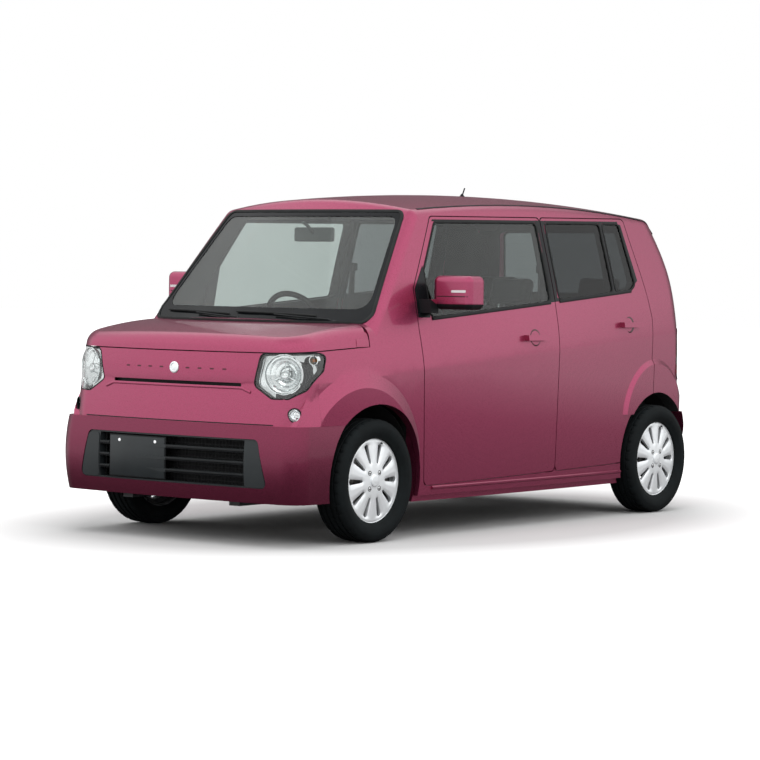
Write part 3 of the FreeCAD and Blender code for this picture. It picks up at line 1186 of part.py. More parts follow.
def make_exhaust():
    """The exhaust: a pipe through the tunnel, a silencer across the tail and a short tailpipe."""
    pipe_z = PIPE_Z
    start = V(0, CRADLE_Y1 + RACK_EXHAUST_GAP, pipe_z)
    turn = V(0, REAR_FLOOR_Y + TANK_R, pipe_z)
    dip = V(0, REAR_AXLE_Y - REAR_SPRING_R, EXHAUST_DIP_Z)
    after = V(0, REAR_AXLE_Y + REAR_SPRING_R, EXHAUST_DIP_Z)
    last = V(MUFFLER_X + MUFFLER_HALF_W / 2, (MUFFLER_Y0 + MUFFLER_Y1) / 2, MUFFLER_Z)
    points = [start, turn, dip, after, last]
    pieces = [rod(a, b, PIPE_R) for a, b in zip(points, points[1:])]
    pieces += [Part.makeSphere(PIPE_R, p) for p in points[1:-1]]
    for y, top in ((FIREWALL_Y + MUFFLER_R, FLOOR_Z + TUNNEL_H), (0, FLOOR_Z + TUNNEL_H)):
        pieces.append(rod(V(0, y, pipe_z), V(0, y, top - FIT), PIPE_R / 3))
    middle_y = (MUFFLER_Y0 + MUFFLER_Y1) / 2
    for dx in (-MUFFLER_HALF_W / 2, MUFFLER_HALF_W / 2):
        hook = V(MUFFLER_X + dx, middle_y - MUFFLER_R / 2, MUFFLER_Z)
        pieces.append(rod(hook, V(hook.x, hook.y, REAR_FLOOR_Z - FIT), PIPE_R / 3))
    pieces.append(rod(V(MUFFLER_X - MUFFLER_HALF_W, middle_y, MUFFLER_Z),
                      V(MUFFLER_X + MUFFLER_HALF_W, middle_y, MUFFLER_Z), MUFFLER_R))
    outlet = V(MUFFLER_X - MUFFLER_HALF_W + PIPE_R * 2, middle_y, MUFFLER_Z)
    bend = V(outlet.x, middle_y, TAILPIPE_Z)
    tail_end = V(outlet.x, TAIL_Y - TAILPIPE_IN, TAILPIPE_Z)
    pieces += [rod(outlet, bend, TAILPIPE_R), Part.makeSphere(TAILPIPE_R, bend),
               rod(bend, tail_end, TAILPIPE_R)]
    bore = rod(bend, tail_end + Y_DIR * TAILPIPE_R, TAILPIPE_R - HOUSING_THICK / 2)
    return fused(pieces).cut(bore)


def make_tank():
    """The fuel tank under the rear seat's floor."""
    tank = box(TANK_X0, TANK_X1, TANK_Y0, TANK_Y1, TANK_Z0, REAR_FLOOR_Z - CLEAR)
    return tank.makeFillet(TANK_R, [e for e in tank.Edges if e.BoundBox.ZMax - e.BoundBox.ZMin > TANK_R])


def make_engine():
    """The engine and gearbox as one plain block."""
    half_w, half_l = BLOCK_W / 2, BLOCK_L / 2
    return box(-half_w, half_w, BLOCK_Y - half_l, BLOCK_Y + half_l, BLOCK_LOW_Z, BLOCK_LOW_Z + BLOCK_H)


# Cabin fittings

def make_dashboard():
    """The dashboard with a low console end and the steering column."""
    wire = rounded_wire([V(-HALF_W, y, z) for y, z in DASH_OUTLINE], DASH_R)
    dash = Part.Face(wire).extrude(X_DIR * WIDTH).common(Layers.solid(WALL))
    axis = steering_axis()
    hub = V(STEERING_HUB_X, STEERING_HUB_Y, STEERING_HUB_Z)
    column = rod(hub - axis * COLUMN_GAP, hub - axis * COLUMN_L, COLUMN_R)
    return dash.fuse(column).removeSplitter()


def steering_axis():
    """The direction of the steering column, towards the driver."""
    rake = math.radians(STEERING_RAKE)
    return V(0, math.cos(rake), math.sin(rake))


def make_steering_wheel():
    """The steering wheel: a six-sided rim, three spokes and a hub."""
    corners = [V(STEERING_R + STEERING_RIM_R * math.cos(math.radians(a)), 0,
                 STEERING_RIM_R * math.sin(math.radians(a))) for a in range(30, 391, 60)]
    rim = Part.Face(Part.makePolygon(corners)).revolve(ORIGIN, Z_DIR, 360)
    pieces = [rim, Part.makeCylinder(STEERING_HUB_R, STEERING_RIM_R * 2, V(0, 0, -STEERING_RIM_R))]
    for turn in (0, 180, 270):
        spoke = box(0, STEERING_R - STEERING_RIM_R / 2, -STEERING_RIM_R, STEERING_RIM_R,
                    -STEERING_RIM_R / 3, STEERING_RIM_R / 3)
        spoke.rotate(ORIGIN, Z_DIR, turn)
        pieces.append(spoke)
    wheel = fused(pieces)
    wheel.rotate(ORIGIN, X_DIR, STEERING_RAKE - 90)
    wheel.translate(V(STEERING_HUB_X, STEERING_HUB_Y, STEERING_HUB_Z))
    return wheel


def seat(x0, x1, y0, cushion_top, base_z, rests):
    """A seat: base, cushion, leaning back and headrests in one solid."""
    cushion = box(x0, x1, y0, y0 + CUSHION_L, cushion_top - CUSHION_H, cushion_top)
    cushion = cushion.makeFillet(SOFT_R, cushion.Edges)
    hinge = V((x0 + x1) / 2, y0 + CUSHION_L - BACK_THICK / 2, cushion_top - CUSHION_H / 2)
    back = box(x0, x1, hinge.y, hinge.y + BACK_THICK, hinge.z, hinge.z + BACK_H)
    back = back.makeFillet(SOFT_R, back.Edges)
    pieces = [cushion, back]
    for x in rests:
        rest = box(x - HEADREST_W / 2, x + HEADREST_W / 2, hinge.y + (BACK_THICK - HEADREST_THICK) / 2,
                   hinge.y + (BACK_THICK + HEADREST_THICK) / 2, hinge.z + BACK_H + HEADREST_GAP,
                   hinge.z + BACK_H + HEADREST_GAP + HEADREST_H)
        rest = rest.makeFillet(SOFT_R, rest.Edges)
        for dx in (-HEADREST_W / 4, HEADREST_W / 4):
            post = V(x + dx, hinge.y + BACK_THICK / 2, hinge.z + BACK_H - SOFT_R)
            rest = rest.fuse(rod(post, post + Z_DIR * (HEADREST_GAP + SOFT_R * 2), HEADREST_POST_R))
        pieces.append(rest)
    for piece in pieces[1:]:
        piece.rotate(hinge, X_DIR, -BACK_LEAN)
    inset_x = (x1 - x0 - SEAT_BASE_W) / 2 if base_z < FLOOR_Z + TUNNEL_H else SOFT_R * 2
    inset_y = (CUSHION_L - SEAT_BASE_L) / 2
    pieces.append(box(x0 + inset_x, x1 - inset_x, y0 + inset_y, y0 + CUSHION_L - inset_y, base_z,
                      cushion_top - CUSHION_H / 2))
    return fused(pieces)


def make_front_seats():
    """Both front seats."""
    half = SEAT_W / 2
    return both_sides(seat(SEAT_X - half, SEAT_X + half, SEAT_Y0, CUSHION_TOP_Z,
                           FLOOR_Z + FLOOR_THICK + CLEAR, [SEAT_X]))


def make_rear_seat():
    """The rear bench."""
    return seat(-REAR_SEAT_HALF_W, REAR_SEAT_HALF_W, REAR_SEAT_Y0, REAR_CUSHION_TOP_Z,
                REAR_FLOOR_Z + FLOOR_THICK + CLEAR, [-SEAT_X, SEAT_X])


# Wheels

def make_wheel(disc):
    """The left wheel about the origin, outer face towards +X: rim, ten spokes, hub and brake disc or drum."""
    half = RIM_W / 2
    well = RIM_R - RIM_THICK * 3
    outer = [(-half, RIM_LIP_R), (-half + RIM_THICK, RIM_R), (-half + RIM_THICK * 4, RIM_R),
             (-half + RIM_THICK * 6, well), (half - RIM_THICK * 6, well), (half - RIM_THICK * 4, RIM_R),
             (half - RIM_THICK, RIM_R), (half, RIM_LIP_R)]
    inner = [(x, r - RIM_THICK) for x, r in reversed(outer)]
    points = [V(x, 0, r) for x, r in outer + inner]
    rim = Part.Face(Part.makePolygon(points + points[:1])).revolve(ORIGIN, X_DIR, 360)
    face_x = half - SPOKE_FACE_IN
    profile = [(face_x - SPOKE_THICK, 0), (face_x - SPOKE_THICK, HUB_R), (face_x - SPOKE_THICK / 2, HUB_R),
               (face_x - SPOKE_THICK / 2, RIM_R - RIM_THICK / 2), (face_x, RIM_R - RIM_THICK / 2),
               (face_x + SPOKE_DOME, HUB_R), (face_x + SPOKE_DOME / 2, 0)]
    points = [V(x, 0, r) for x, r in profile]
    plate = Part.Face(Part.makePolygon(points + points[:1])).revolve(ORIGIN, X_DIR, 360)
    slot_in, slot_out = SLOT_INNER_R, SLOT_OUTER_R
    slot = [V(-half, -SLOT_INNER_W / 2, slot_in), V(-half, SLOT_INNER_W / 2, slot_in),
            V(-half, SLOT_OUTER_W / 2, slot_out), V(-half, -SLOT_OUTER_W / 2, slot_out)]
    cutter = Part.Face(rounded_wire(slot, SLOT_INNER_W / 2 - FIT)).extrude(X_DIR * RIM_W * 2)
    cutters = []
    for i in range(SPOKE_COUNT):
        turned = cutter.copy()
        turned.rotate(ORIGIN, X_DIR, 360 * i / SPOKE_COUNT)
        cutters.append(turned)
    for i in range(LUG_COUNT):
        angle = math.radians(360 * i / LUG_COUNT + LUG_TURN)
        centre = V(-half, LUG_PCD / 2 * math.sin(angle), LUG_PCD / 2 * math.cos(angle))
        cutters.append(Part.makeCylinder(LUG_HOLE_R, RIM_W * 2, centre, X_DIR))
    plate = plate.cut(Part.makeCompound(cutters))
    back_x = face_x - SPOKE_THICK
    if disc:
        drum = Part.makeCylinder(DISC_R, DISC_THICK, V(-DISC_THICK, 0, 0) + X_DIR * DISC_OFFSET, X_DIR)
        hat_x = DISC_OFFSET - DISC_THICK
        hat = Part.makeCylinder(HUB_R, back_x - hat_x, V(hat_x, 0, 0), X_DIR)
    else:
        drum = Part.makeCylinder(DRUM_R, DRUM_W, V(back_x - DRUM_W, 0, 0), X_DIR)
        hat = Part.makeCylinder(HUB_R, DRUM_W / 2, V(back_x - DRUM_W / 3, 0, 0), X_DIR)
    solid = fused([rim, plate, drum, hat])
    bore_end = HUB_FACE_X + SPINDLE_L - TRACK / 2 + CLEAR
    bore = Part.makeCylinder(SPINDLE_R + SPINDLE_FIT, RIM_W + bore_end, V(-RIM_W, 0, 0), X_DIR)
    return solid.cut(bore)


def make_tyre():
    """The left tyre about the origin, seated between the rim's lips."""
    half, tread = TYRE_W / 2, TREAD_W / 2
    seat_x = RIM_W / 2 - RIM_THICK - CLEAR
    bead_x = RIM_W / 2 + CLEAR
    points = [(-seat_x, RIM_R + CLEAR), (-bead_x, RIM_LIP_R + CLEAR), (-half, TYRE_R * SIDEWALL_SHARE),
              (-tread, TYRE_R), (tread, TYRE_R), (half, TYRE_R * SIDEWALL_SHARE), (bead_x, RIM_LIP_R + CLEAR),
              (seat_x, RIM_R + CLEAR)]
    corners = [V(x, 0, r) for x, r in points]
    return Part.Face(Part.makePolygon(corners + corners[:1])).revolve(ORIGIN, X_DIR, 360)


def placed(shape, side, axle_y):
    """A left wheel or tyre at its place, or its mirror on the right."""
    piece = shape.copy()
    piece.translate(V(TRACK / 2, axle_y, TYRE_R))
    return piece if side > 0 else mirrored(piece)


def make_running_gear():
    """Everything below the body and in the cabin."""
    parts = {}
    parts["floor_pan"] = make_floor()
    parts["firewall"] = make_firewall()
    parts["front_wheel_housings"] = make_front_housings()
    parts["rear_wheel_housings"] = make_rear_housings()
    parts["engine_block"] = make_engine()
    parts["front_cradle"] = make_front_cradle()
    parts["radiator"] = make_radiator()
    parts["front_struts"] = make_front_struts()
    parts["steering_rack"] = make_rack()
    parts["rack_housing"] = make_rack_housing()
    parts["rear_axle"] = make_rear_axle()
    parts["rear_springs"] = make_rear_springs()
    parts["rear_dampers"] = make_rear_dampers()
    parts["exhaust"] = make_exhaust()
    parts["fuel_tank"] = make_tank()
    parts["dashboard"] = make_dashboard()
    parts["steering_wheel"] = make_steering_wheel()
    parts["front_seats"] = make_front_seats()
    parts["rear_seat"] = make_rear_seat()
    knuckle = make_knuckle()
    parts["knuckle_left"], parts["knuckle_right"] = knuckle, mirrored(knuckle)
    tyre = make_tyre()
    for end, axle_y, disc in (("front", FRONT_AXLE_Y, True), ("rear", REAR_AXLE_Y, False)):
        wheel = make_wheel(disc)
        for hand, side in (("left", 1), ("right", -1)):
            parts["wheel_" + end + "_" + hand] = placed(wheel, side, axle_y)
            parts["tyre_" + end + "_" + hand] = placed(tyre, side, axle_y)
    return parts


def main():
    os.makedirs("parts", exist_ok=True)
    parts = make_body()
    parts.update(make_running_gear())
    for name, shape in parts.items():
        shape.exportStep("parts/" + name + ".step")


if __name__ == "__main__":
    main()
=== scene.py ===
import math
import bmesh
import bpy
import numpy as np
from mathutils import Matrix, Vector
from mathutils.bvhtree import BVHTree
from mathutils.geometry import delaunay_2d_cdt


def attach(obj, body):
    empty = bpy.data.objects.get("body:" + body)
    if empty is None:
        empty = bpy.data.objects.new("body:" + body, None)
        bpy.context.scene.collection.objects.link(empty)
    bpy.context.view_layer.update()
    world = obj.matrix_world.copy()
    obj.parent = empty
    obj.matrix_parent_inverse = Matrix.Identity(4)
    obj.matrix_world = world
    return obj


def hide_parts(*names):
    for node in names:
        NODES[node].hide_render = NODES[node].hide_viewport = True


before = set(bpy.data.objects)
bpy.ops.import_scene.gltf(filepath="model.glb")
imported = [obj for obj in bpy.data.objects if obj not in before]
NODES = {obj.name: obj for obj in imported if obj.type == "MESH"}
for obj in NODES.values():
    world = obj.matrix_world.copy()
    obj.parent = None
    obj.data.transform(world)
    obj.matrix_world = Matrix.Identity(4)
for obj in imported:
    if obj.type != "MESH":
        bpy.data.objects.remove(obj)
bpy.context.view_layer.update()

SIDES = (("left", 1), ("right", -1))
V = Vector
ORIGIN = (0, 0, 0)
ACROSS, REARWARD, FORWARD, UP = (1, 0, 0), (0, 1, 0), (0, -1, 0), (0, 0, 1)
LEVEL_TO_UPRIGHT = Matrix.Rotation(math.radians(90), 4, "X")


# Camera at the photograph's place, with its small roll and shift

def add_camera():
    """Looks from the car's front left; lengths in the picture are in pixels of the photograph."""
    azimuth, elevation, roll = math.radians(36.97), math.radians(2.03), math.radians(1.02)
    target, distance = V((0, 0, 0.7)), 13.446
    photo_width, focal_length, shift_x, shift_y = 760.0, 2693.0, -16.9, -1.7
    back = V((math.sin(azimuth) * math.cos(elevation), -math.cos(azimuth) * math.cos(elevation),
              math.sin(elevation)))
    right = V((math.cos(azimuth), math.sin(azimuth), 0))
    up = back.cross(right)
    across = right * math.cos(roll) + up * math.sin(roll)
    upright = up * math.cos(roll) - right * math.sin(roll)
    place = target + back * distance
    data = bpy.data.cameras.new("camera")
    data.sensor_width = 36.0
    data.lens = data.sensor_width * focal_length / photo_width
    data.shift_x, data.shift_y = shift_x / photo_width, shift_y / photo_width
    data.clip_end = 200.0
    camera = bpy.data.objects.new("camera", data)
    turn = Matrix((across, upright, back)).transposed().to_4x4()
    camera.matrix_world = Matrix.Translation(place) @ turn
    bpy.context.scene.collection.objects.link(camera)
    bpy.context.scene.camera = camera


# Materials

class Nodes:
    """A short way to write the node tree of a material or a world."""

    def __init__(self, owner):
        self.owner = owner
        owner.use_nodes = True
        self.tree = owner.node_tree
        self.shader = self.tree.nodes.get("Principled BSDF") or self.tree.nodes.get("Background")
        self.output = self.tree.nodes.get("Material Output") or self.tree.nodes.get("World Output")

    def add(self, kind, inputs=None, **attributes):
        """A node with its attributes, and with its inputs linked or set."""
        node = self.tree.nodes.new(kind)
        for key, value in attributes.items():
            setattr(node, key, value)
        for key, value in (inputs or {}).items():
            self.feed(node.inputs[key], value)
        return node

    def feed(self, socket, value):
        """Links a socket or sets a value; a colour may leave out its alpha."""
        if isinstance(value, bpy.types.NodeSocket):
            self.tree.links.new(value, socket)
        elif isinstance(value, tuple) and len(value) < len(socket.default_value):
            socket.default_value = (*value, 1)
        else:
            socket.default_value = value

    def set(self, **values):
        """Feeds inputs of the main shader; an underscore stands for a space."""
        for key, value in values.items():
            self.feed(self.shader.inputs[key.replace("_", " ")], value)

    def place(self, kind="Object"):
        """The shaded spot in the object's own axes, or in the world's for Generated."""
        return self.add("ShaderNodeTexCoord").outputs[kind]

    def noise(self, scale, detail=3.0):
        """Soft clouds from zero to one."""
        inputs = {"Scale": scale, "Detail": detail, "Roughness": 0.55, "Vector": self.place()}
        return self.add("ShaderNodeTexNoise", inputs).outputs["Fac"]

    def cells(self, scale, output):
        """Small cells, as their colours or the distance from their middles."""
        return self.add("ShaderNodeTexVoronoi", {"Scale": scale, "Vector": self.place()}).outputs[output]

    def wave(self, scale, direction, distortion=0.0):
        """Stripes from zero to one across a direction."""
        inputs = {"Scale": scale, "Distortion": distortion, "Vector": self.place()}
        return self.add("ShaderNodeTexWave", inputs, bands_direction=direction).outputs["Fac"]

    def stops(self, fac, first, *others, interpolation="LINEAR"):
        """A colour ramp through (position, colour) stops, where one number is a grey."""
        ramp = self.add("ShaderNodeValToRGB", {"Fac": fac})
        ramp.color_ramp.interpolation = interpolation
        elements = ramp.color_ramp.elements
        elements[0].position, elements[1].position = first[0], others[-1][0]
        for position, _ in others[:-1]:
            elements.new(position)
        for element, (_, colour) in zip(elements, (first, *others)):
            element.color = (*colour, 1) if isinstance(colour, tuple) else (colour, colour, colour, 1)
        return ramp.outputs["Color"]

    def ramp(self, fac, low, high, start=0.0, end=1.0):
        """A colour ramp between two stops."""
        return self.stops(fac, (start, low), (end, high))

    def bump(self, height, strength, distance):
        """Normals for a relief."""
        inputs = {"Height": height, "Strength": strength, "Distance": distance}
        return self.add("ShaderNodeBump", inputs).outputs["Normal"]

    def math(self, operation, a, b=0.0):
        """One operation on two numbers."""
        return self.add("ShaderNodeMath", {0: a, 1: b}, operation=operation).outputs[0]

    def vector(self, operation, a, b=(0.0, 0.0, 0.0)):
        """One operation on two vectors."""
        result = "Value" if operation in ("LENGTH", "DOT_PRODUCT") else "Vector"
        return self.add("ShaderNodeVectorMath", {0: a, 1: b}, operation=operation).outputs[result]

    def rays(self, *kinds):
        """One for a ray of the kind or of either of two kinds, zero for others."""
        path = self.add("ShaderNodeLightPath").outputs
        found = [path["Is " + kind + " Ray"] for kind in kinds]
        return found[0] if len(found) == 1 else self.math("MAXIMUM", *found)

    def show(self, fac, first, second):
        """Ends the tree with a mix of two shaders."""
        mixed = self.add("ShaderNodeMixShader", {0: fac, 1: first, 2: second}).outputs[0]
        self.tree.links.new(mixed, self.output.inputs["Surface"])


def new_material(name):
    """The empty node tree of a new material."""
    return Nodes(bpy.data.materials.new(name))


def paint(name, colour, dark, coat=0.5):
    """Metallic paint under a clear coat, with fine flakes and a faint ripple."""
    m = new_material(name)
    spread = m.add("ShaderNodeSeparateColor", {"Color": m.cells(900.0, "Color")}).outputs[0]
    m.set(Base_Color=m.ramp(spread, dark, colour), Metallic=0.80, Roughness=m.ramp(spread, 0.26, 0.36),
          Coat_Weight=coat, Coat_Roughness=0.06, Coat_IOR=1.5, Normal=m.bump(spread, 0.06, 0.0004))
    return m.owner


def plastic(name, colour, rough=0.6, grain=900.0, strength=0.35, shine=0.3):
    """Moulded plastic with a fine leather-like grain."""
    m = new_material(name)
    dirt = m.noise(7.0)
    light = tuple(min(1.0, c * 1.25 + 0.004) for c in colour)
    m.set(Base_Color=m.ramp(dirt, colour, light, 0.35, 0.75),
          Roughness=m.ramp(dirt, rough - 0.06, rough + 0.08),
          Normal=m.bump(m.cells(grain, "Distance"), strength, 0.0004), Specular_IOR_Level=shine)
    return m.owner


def metal(name, colour, rough=0.35, metallic=1.0, scale=60.0, bump=0.1, dark=0.7):
    """Bare or coated metal with uneven roughness."""
    m = new_material(name)
    fine = m.noise(scale, 5.0)
    shade = tuple(c * dark for c in colour)
    m.set(Base_Color=m.ramp(fine, shade, colour, 0.3, 0.65), Metallic=metallic,
          Roughness=m.ramp(fine, rough + 0.12, rough - 0.04, 0.3, 0.7), Normal=m.bump(fine, bump, 0.0005))
    return m.owner


def rubber(name, colour, rough=0.75):
    """Dull rubber with some dust on it."""
    m = new_material(name)
    dust = m.noise(18.0, 6.0)
    light = tuple(c * 1.9 for c in colour)
    m.set(Base_Color=m.ramp(dust, colour, light, 0.4, 0.8), Roughness=m.ramp(dust, rough, rough + 0.12),
          Normal=m.bump(m.noise(700.0, 2.0), 0.25, 0.0003), Specular_IOR_Level=0.2)
    return m.owner


def cloth(name, colour, accent, scale=520.0):
    """Woven cloth: two crossed thread directions with a soft sheen."""
    m = new_material(name)
    weave = m.math("MULTIPLY", m.wave(scale, "X", 0.4), m.wave(scale, "Z", 0.4))
    blend = m.math("ADD", m.math("MULTIPLY", weave, 0.6), m.math("MULTIPLY", m.noise(9.0), 0.4))
    m.set(Base_Color=m.ramp(blend, colour, accent, 0.2, 0.9), Roughness=0.9, Sheen_Weight=0.35,
          Sheen_Roughness=0.5, Normal=m.bump(weave, 0.4, 0.0005))
    return m.owner


def glass(name, tint, ior=1.45):
    """Clear or tinted glass that lets light through, with faint clouds in its tint."""
    m = new_material(name)
    clouds = m.ramp(m.noise(2.5, 2.0), tuple(c * 0.96 for c in tint), tint, 0.3, 0.7)
    m.set(Base_Color=clouds, Roughness=0.0, Transmission_Weight=1.0, IOR=ior)
    through = m.add("ShaderNodeBsdfTransparent", {"Color": tint}).outputs[0]
    m.show(m.rays("Shadow", "Diffuse"), m.shader.outputs[0], through)
    return m.owner


def red_lens(name):
    """A tail lamp's moulding: red, with a clear band and an amber one, ribbed inside."""
    m = new_material(name)
    foot, tall = 0.69, 0.27
    height = m.add("ShaderNodeSeparateXYZ", {"Vector": m.place()}).outputs["Z"]
    bands = m.stops(m.math("MULTIPLY", m.math("SUBTRACT", height, foot), 1 / tall),
                    (0.0, (0.45, 0.006, 0.01)), (0.30, (0.75, 0.72, 0.70)), (0.46, (0.85, 0.23, 0.02)),
                    (0.62, (0.5, 0.008, 0.012)), interpolation="CONSTANT")
    ribs = m.wave(60.0, "Z")
    m.set(Base_Color=bands, Roughness=m.ramp(ribs, 0.08, 0.2), Coat_Weight=1.0, Coat_Roughness=0.02,
          Normal=m.bump(ribs, 0.25, 0.002))
    return m.owner


PAINT = paint("wine_paint", (0.37, 0.052, 0.126), (0.28, 0.035, 0.089))
# A darker copy of the body paint for the front bumper's lower part: painted shade.
SHADED_BUMPER_PAINT = paint("wine_paint_bumper_painted_shade", (0.185, 0.023, 0.060), (0.14, 0.016, 0.043), 0.2)
# A near-black copy of the body paint for the door handle cups and the nose dashes: painted shade of recesses
# and slots.
RECESS_SHADE_PAINT = paint("wine_paint_recess_painted_shade", (0.085, 0.010, 0.024), (0.05, 0.006, 0.014))
BLACK = plastic("black_trim", (0.007, 0.008, 0.009), 0.5, shine=0.2)
GLOSS_BLACK = plastic("gloss_black", (0.005, 0.006, 0.007), 0.16, 200.0, 0.02, 0.16)
GRILLE = plastic("grille_plastic", (0.018, 0.022, 0.024), 0.42, 600.0, 0.15)
LINER = plastic("arch_liner", (0.010, 0.010, 0.011), 0.85, 180.0, 0.6)
DASH = plastic("dash_plastic", (0.080, 0.094, 0.090), 0.62)
DOOR_TRIM = plastic("cabin_trim", (0.030, 0.033, 0.033), 0.66)
HEADLINER = cloth("headliner_cloth", (0.17, 0.175, 0.17), (0.25, 0.255, 0.25), 300.0)
CARPET = cloth("carpet", (0.02, 0.02, 0.022), (0.05, 0.05, 0.052), 240.0)
SEAT = cloth("seat_weave", (0.022, 0.024, 0.026), (0.060, 0.064, 0.068))
SEAT_SIDE = cloth("seat_side_weave", (0.014, 0.015, 0.016), (0.034, 0.036, 0.038), 800.0)
BELT = cloth("belt_webbing", (0.012, 0.012, 0.013), (0.03, 0.03, 0.032), 900.0)
SEAL = rubber("seal_rubber", (0.010, 0.011, 0.011), 0.6)
TYRE = rubber("tyre_rubber", (0.0035, 0.0052, 0.0058))
SILVER = metal("wheel_silver", (0.90, 0.93, 0.95), 0.34, 0.45, 40.0, 0.02, 0.96)
REFLECTOR = metal("lamp_reflector", (0.62, 0.65, 0.65), 0.10, 1.0, 20.0, 0.0, 0.92)
BARREL = metal("wheel_barrel", (0.16, 0.165, 0.17), 0.5, 0.7, 30.0, 0.05)
CHROME = metal("chrome", (0.86, 0.87, 0.88), 0.06, 1.0, 20.0, 0.0, 0.97)
MIRROR_GLASS = metal("mirror_silver", (0.80, 0.83, 0.84), 0.02, 1.0, 15.0, 0.0, 0.98)
STEEL = metal("coated_steel", (0.055, 0.055, 0.058), 0.45, 0.3)
UNDER = metal("underbody_coat", (0.06, 0.06, 0.063), 0.65, 0.1, 25.0, 0.3)
CAST = metal("cast_aluminium", (0.42, 0.43, 0.44), 0.48, 0.9, 140.0, 0.5)
IRON = metal("cast_iron", (0.16, 0.15, 0.145), 0.6, 0.7, 160.0, 0.5, 0.6)
DISC = metal("brake_disc", (0.46, 0.45, 0.44), 0.3, 1.0, 90.0, 0.1)
EXHAUST = metal("exhaust_steel", (0.34, 0.31, 0.28), 0.45, 1.0, 22.0, 0.2, 0.55)
FINS = metal("radiator_fins", (0.30, 0.31, 0.32), 0.5, 0.9, 300.0, 0.6)
SCREEN_GLASS = glass("windscreen_glass", (0.655, 0.715, 0.695))
DOOR_GLASS = glass("door_glass", (0.56, 0.62, 0.60), 1.34)
REAR_GLASS = glass("rear_glass", (0.16, 0.178, 0.182), 1.26)
LAMP_GLASS = glass("lamp_glass", (0.97, 0.98, 0.98))
TAIL_RED = red_lens("tail_lens")
AMBER = glass("amber_glass", (0.95, 0.42, 0.06))
WHITE_LENS = plastic("pale_lens", (0.62, 0.60, 0.61), 0.15, 120.0, 0.1)
PLATE = plastic("blank_plate", (0.016, 0.020, 0.022), 0.32, 90.0, 0.02)
REAR_PLATE = plastic("blank_plate_pale", (0.60, 0.60, 0.58), 0.35, 90.0, 0.02)


# Shaping helpers

def read(items, attribute, width=1, kind=float):
    """One attribute of every item, as an array."""
    values = np.empty(len(items) * width, dtype=kind)
    items.foreach_get(attribute, values)
    return values.reshape(-1, width) if width > 1 else values


def smooth_normals(mesh, limit):
    """Soft shading over facets that meet at less than the limit, by place as CAD faces share no corners."""
    count, polygons = len(mesh.loops), len(mesh.polygons)
    if not count:
        return
    places = read(mesh.vertices, "co", 3)[read(mesh.loops, "vertex_index", kind=np.int64)]
    normals, area = read(mesh.polygons, "normal", 3), read(mesh.polygons, "area")
    total = read(mesh.polygons, "loop_total", kind=np.int64)
    loop_face = np.repeat(np.arange(polygons), total)
    starts = np.concatenate(([0], np.cumsum(total)[:-1]))
    before, after = np.arange(count) - 1, np.arange(count) + 1
    before[starts] = starts + total - 1
    after[starts + total - 1] = starts
    edges = []
    for neighbour in (before, after):
        edge = places[neighbour] - places
        edges.append(edge / np.maximum(np.linalg.norm(edge, axis=1), 1e-12)[:, None])
    corner = np.arccos(np.clip((edges[0] * edges[1]).sum(axis=1), -1, 1))
    steps_per_metre = 20000
    keys = np.round(places * steps_per_metre).astype(np.int64)
    group = np.unique(keys, axis=0, return_inverse=True)[1].ravel()
    order = np.argsort(group, kind="stable")
    cosine = math.cos(math.radians(limit))
    result = np.empty((count, 3))
    for loops in np.split(order, np.flatnonzero(np.diff(group[order])) + 1):
        faces = normals[loop_face[loops]]
        weight = corner[loops] * area[loop_face[loops]]
        near = (faces @ faces.T) > cosine
        summed = near @ (faces * weight[:, None])
        length = np.linalg.norm(summed, axis=1)
        bad = length < 1e-9
        summed[bad] = faces[bad]
        length[bad] = 1.0
        result[loops] = summed / length[:, None]
    mesh.polygons.foreach_set("use_smooth", [True] * polygons)
    mesh.normals_split_custom_set(result.tolist())
    mesh.update()


def dress(names, *materials, where=None):
    """Gives CAD nodes their material; where(centre, normal) picks the index among several."""
    for name in names.split():
        mesh = NODES[name].data
        mesh.materials.clear()
        for material in materials:
            mesh.materials.append(material)
        for polygon in mesh.polygons:
            polygon.material_index = where(polygon.center, polygon.normal) if where else 0


def surface(*names):
    """A ray-casting tree of several nodes."""
    vertices, faces = [], []
    for name in names:
        mesh = NODES[name].data
        start = len(vertices)
        vertices += [v.co.copy() for v in mesh.vertices]
        faces += [[start + i for i in polygon.vertices] for polygon in mesh.polygons]
    return BVHTree.FromPolygons(vertices, faces)


def piece(name, bm, body, materials, smooth=40.0, replaced=None):
    """A finished piece: linked, shaded, riding on its body, and standing for a CAD node if one is named."""
    bmesh.ops.recalc_face_normals(bm, faces=bm.faces)
    mesh = bpy.data.meshes.new(name)
    bm.to_mesh(mesh)
    bm.free()
    obj = bpy.data.objects.new(name, mesh)
    bpy.context.scene.collection.objects.link(obj)
    materials = materials if isinstance(materials, list) else [materials]
    kept = [min(polygon.material_index, len(materials) - 1) for polygon in mesh.polygons]
    mesh.materials.clear()
    for material in materials:
        mesh.materials.append(material)
    mesh.polygons.foreach_set("material_index", kept)
    mesh.polygons.foreach_set("use_smooth", [True] * len(mesh.polygons))
    if smooth:
        mesh.set_sharp_from_angle(angle=math.radians(smooth))
    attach(obj, body)
    if replaced:
        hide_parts(replaced)
    return obj


def swept(bm, rings, loop=False, caps=True, index=0):
    """Skins a row of point rings; a loop joins the last to the first and has no caps."""
    made = [[bm.verts.new(p) for p in ring] for ring in rings]
    for a, b in zip(made, made[1:] + made[:1] if loop else made[1:]):
        for k in range(len(a)):
            m = (k + 1) % len(a)
            bm.faces.new((a[k], a[m], b[m], b[k])).material_index = index
    if caps and not loop:
        bm.faces.new(made[0][::-1]).material_index = index
        bm.faces.new(made[-1]).material_index = index
    return made


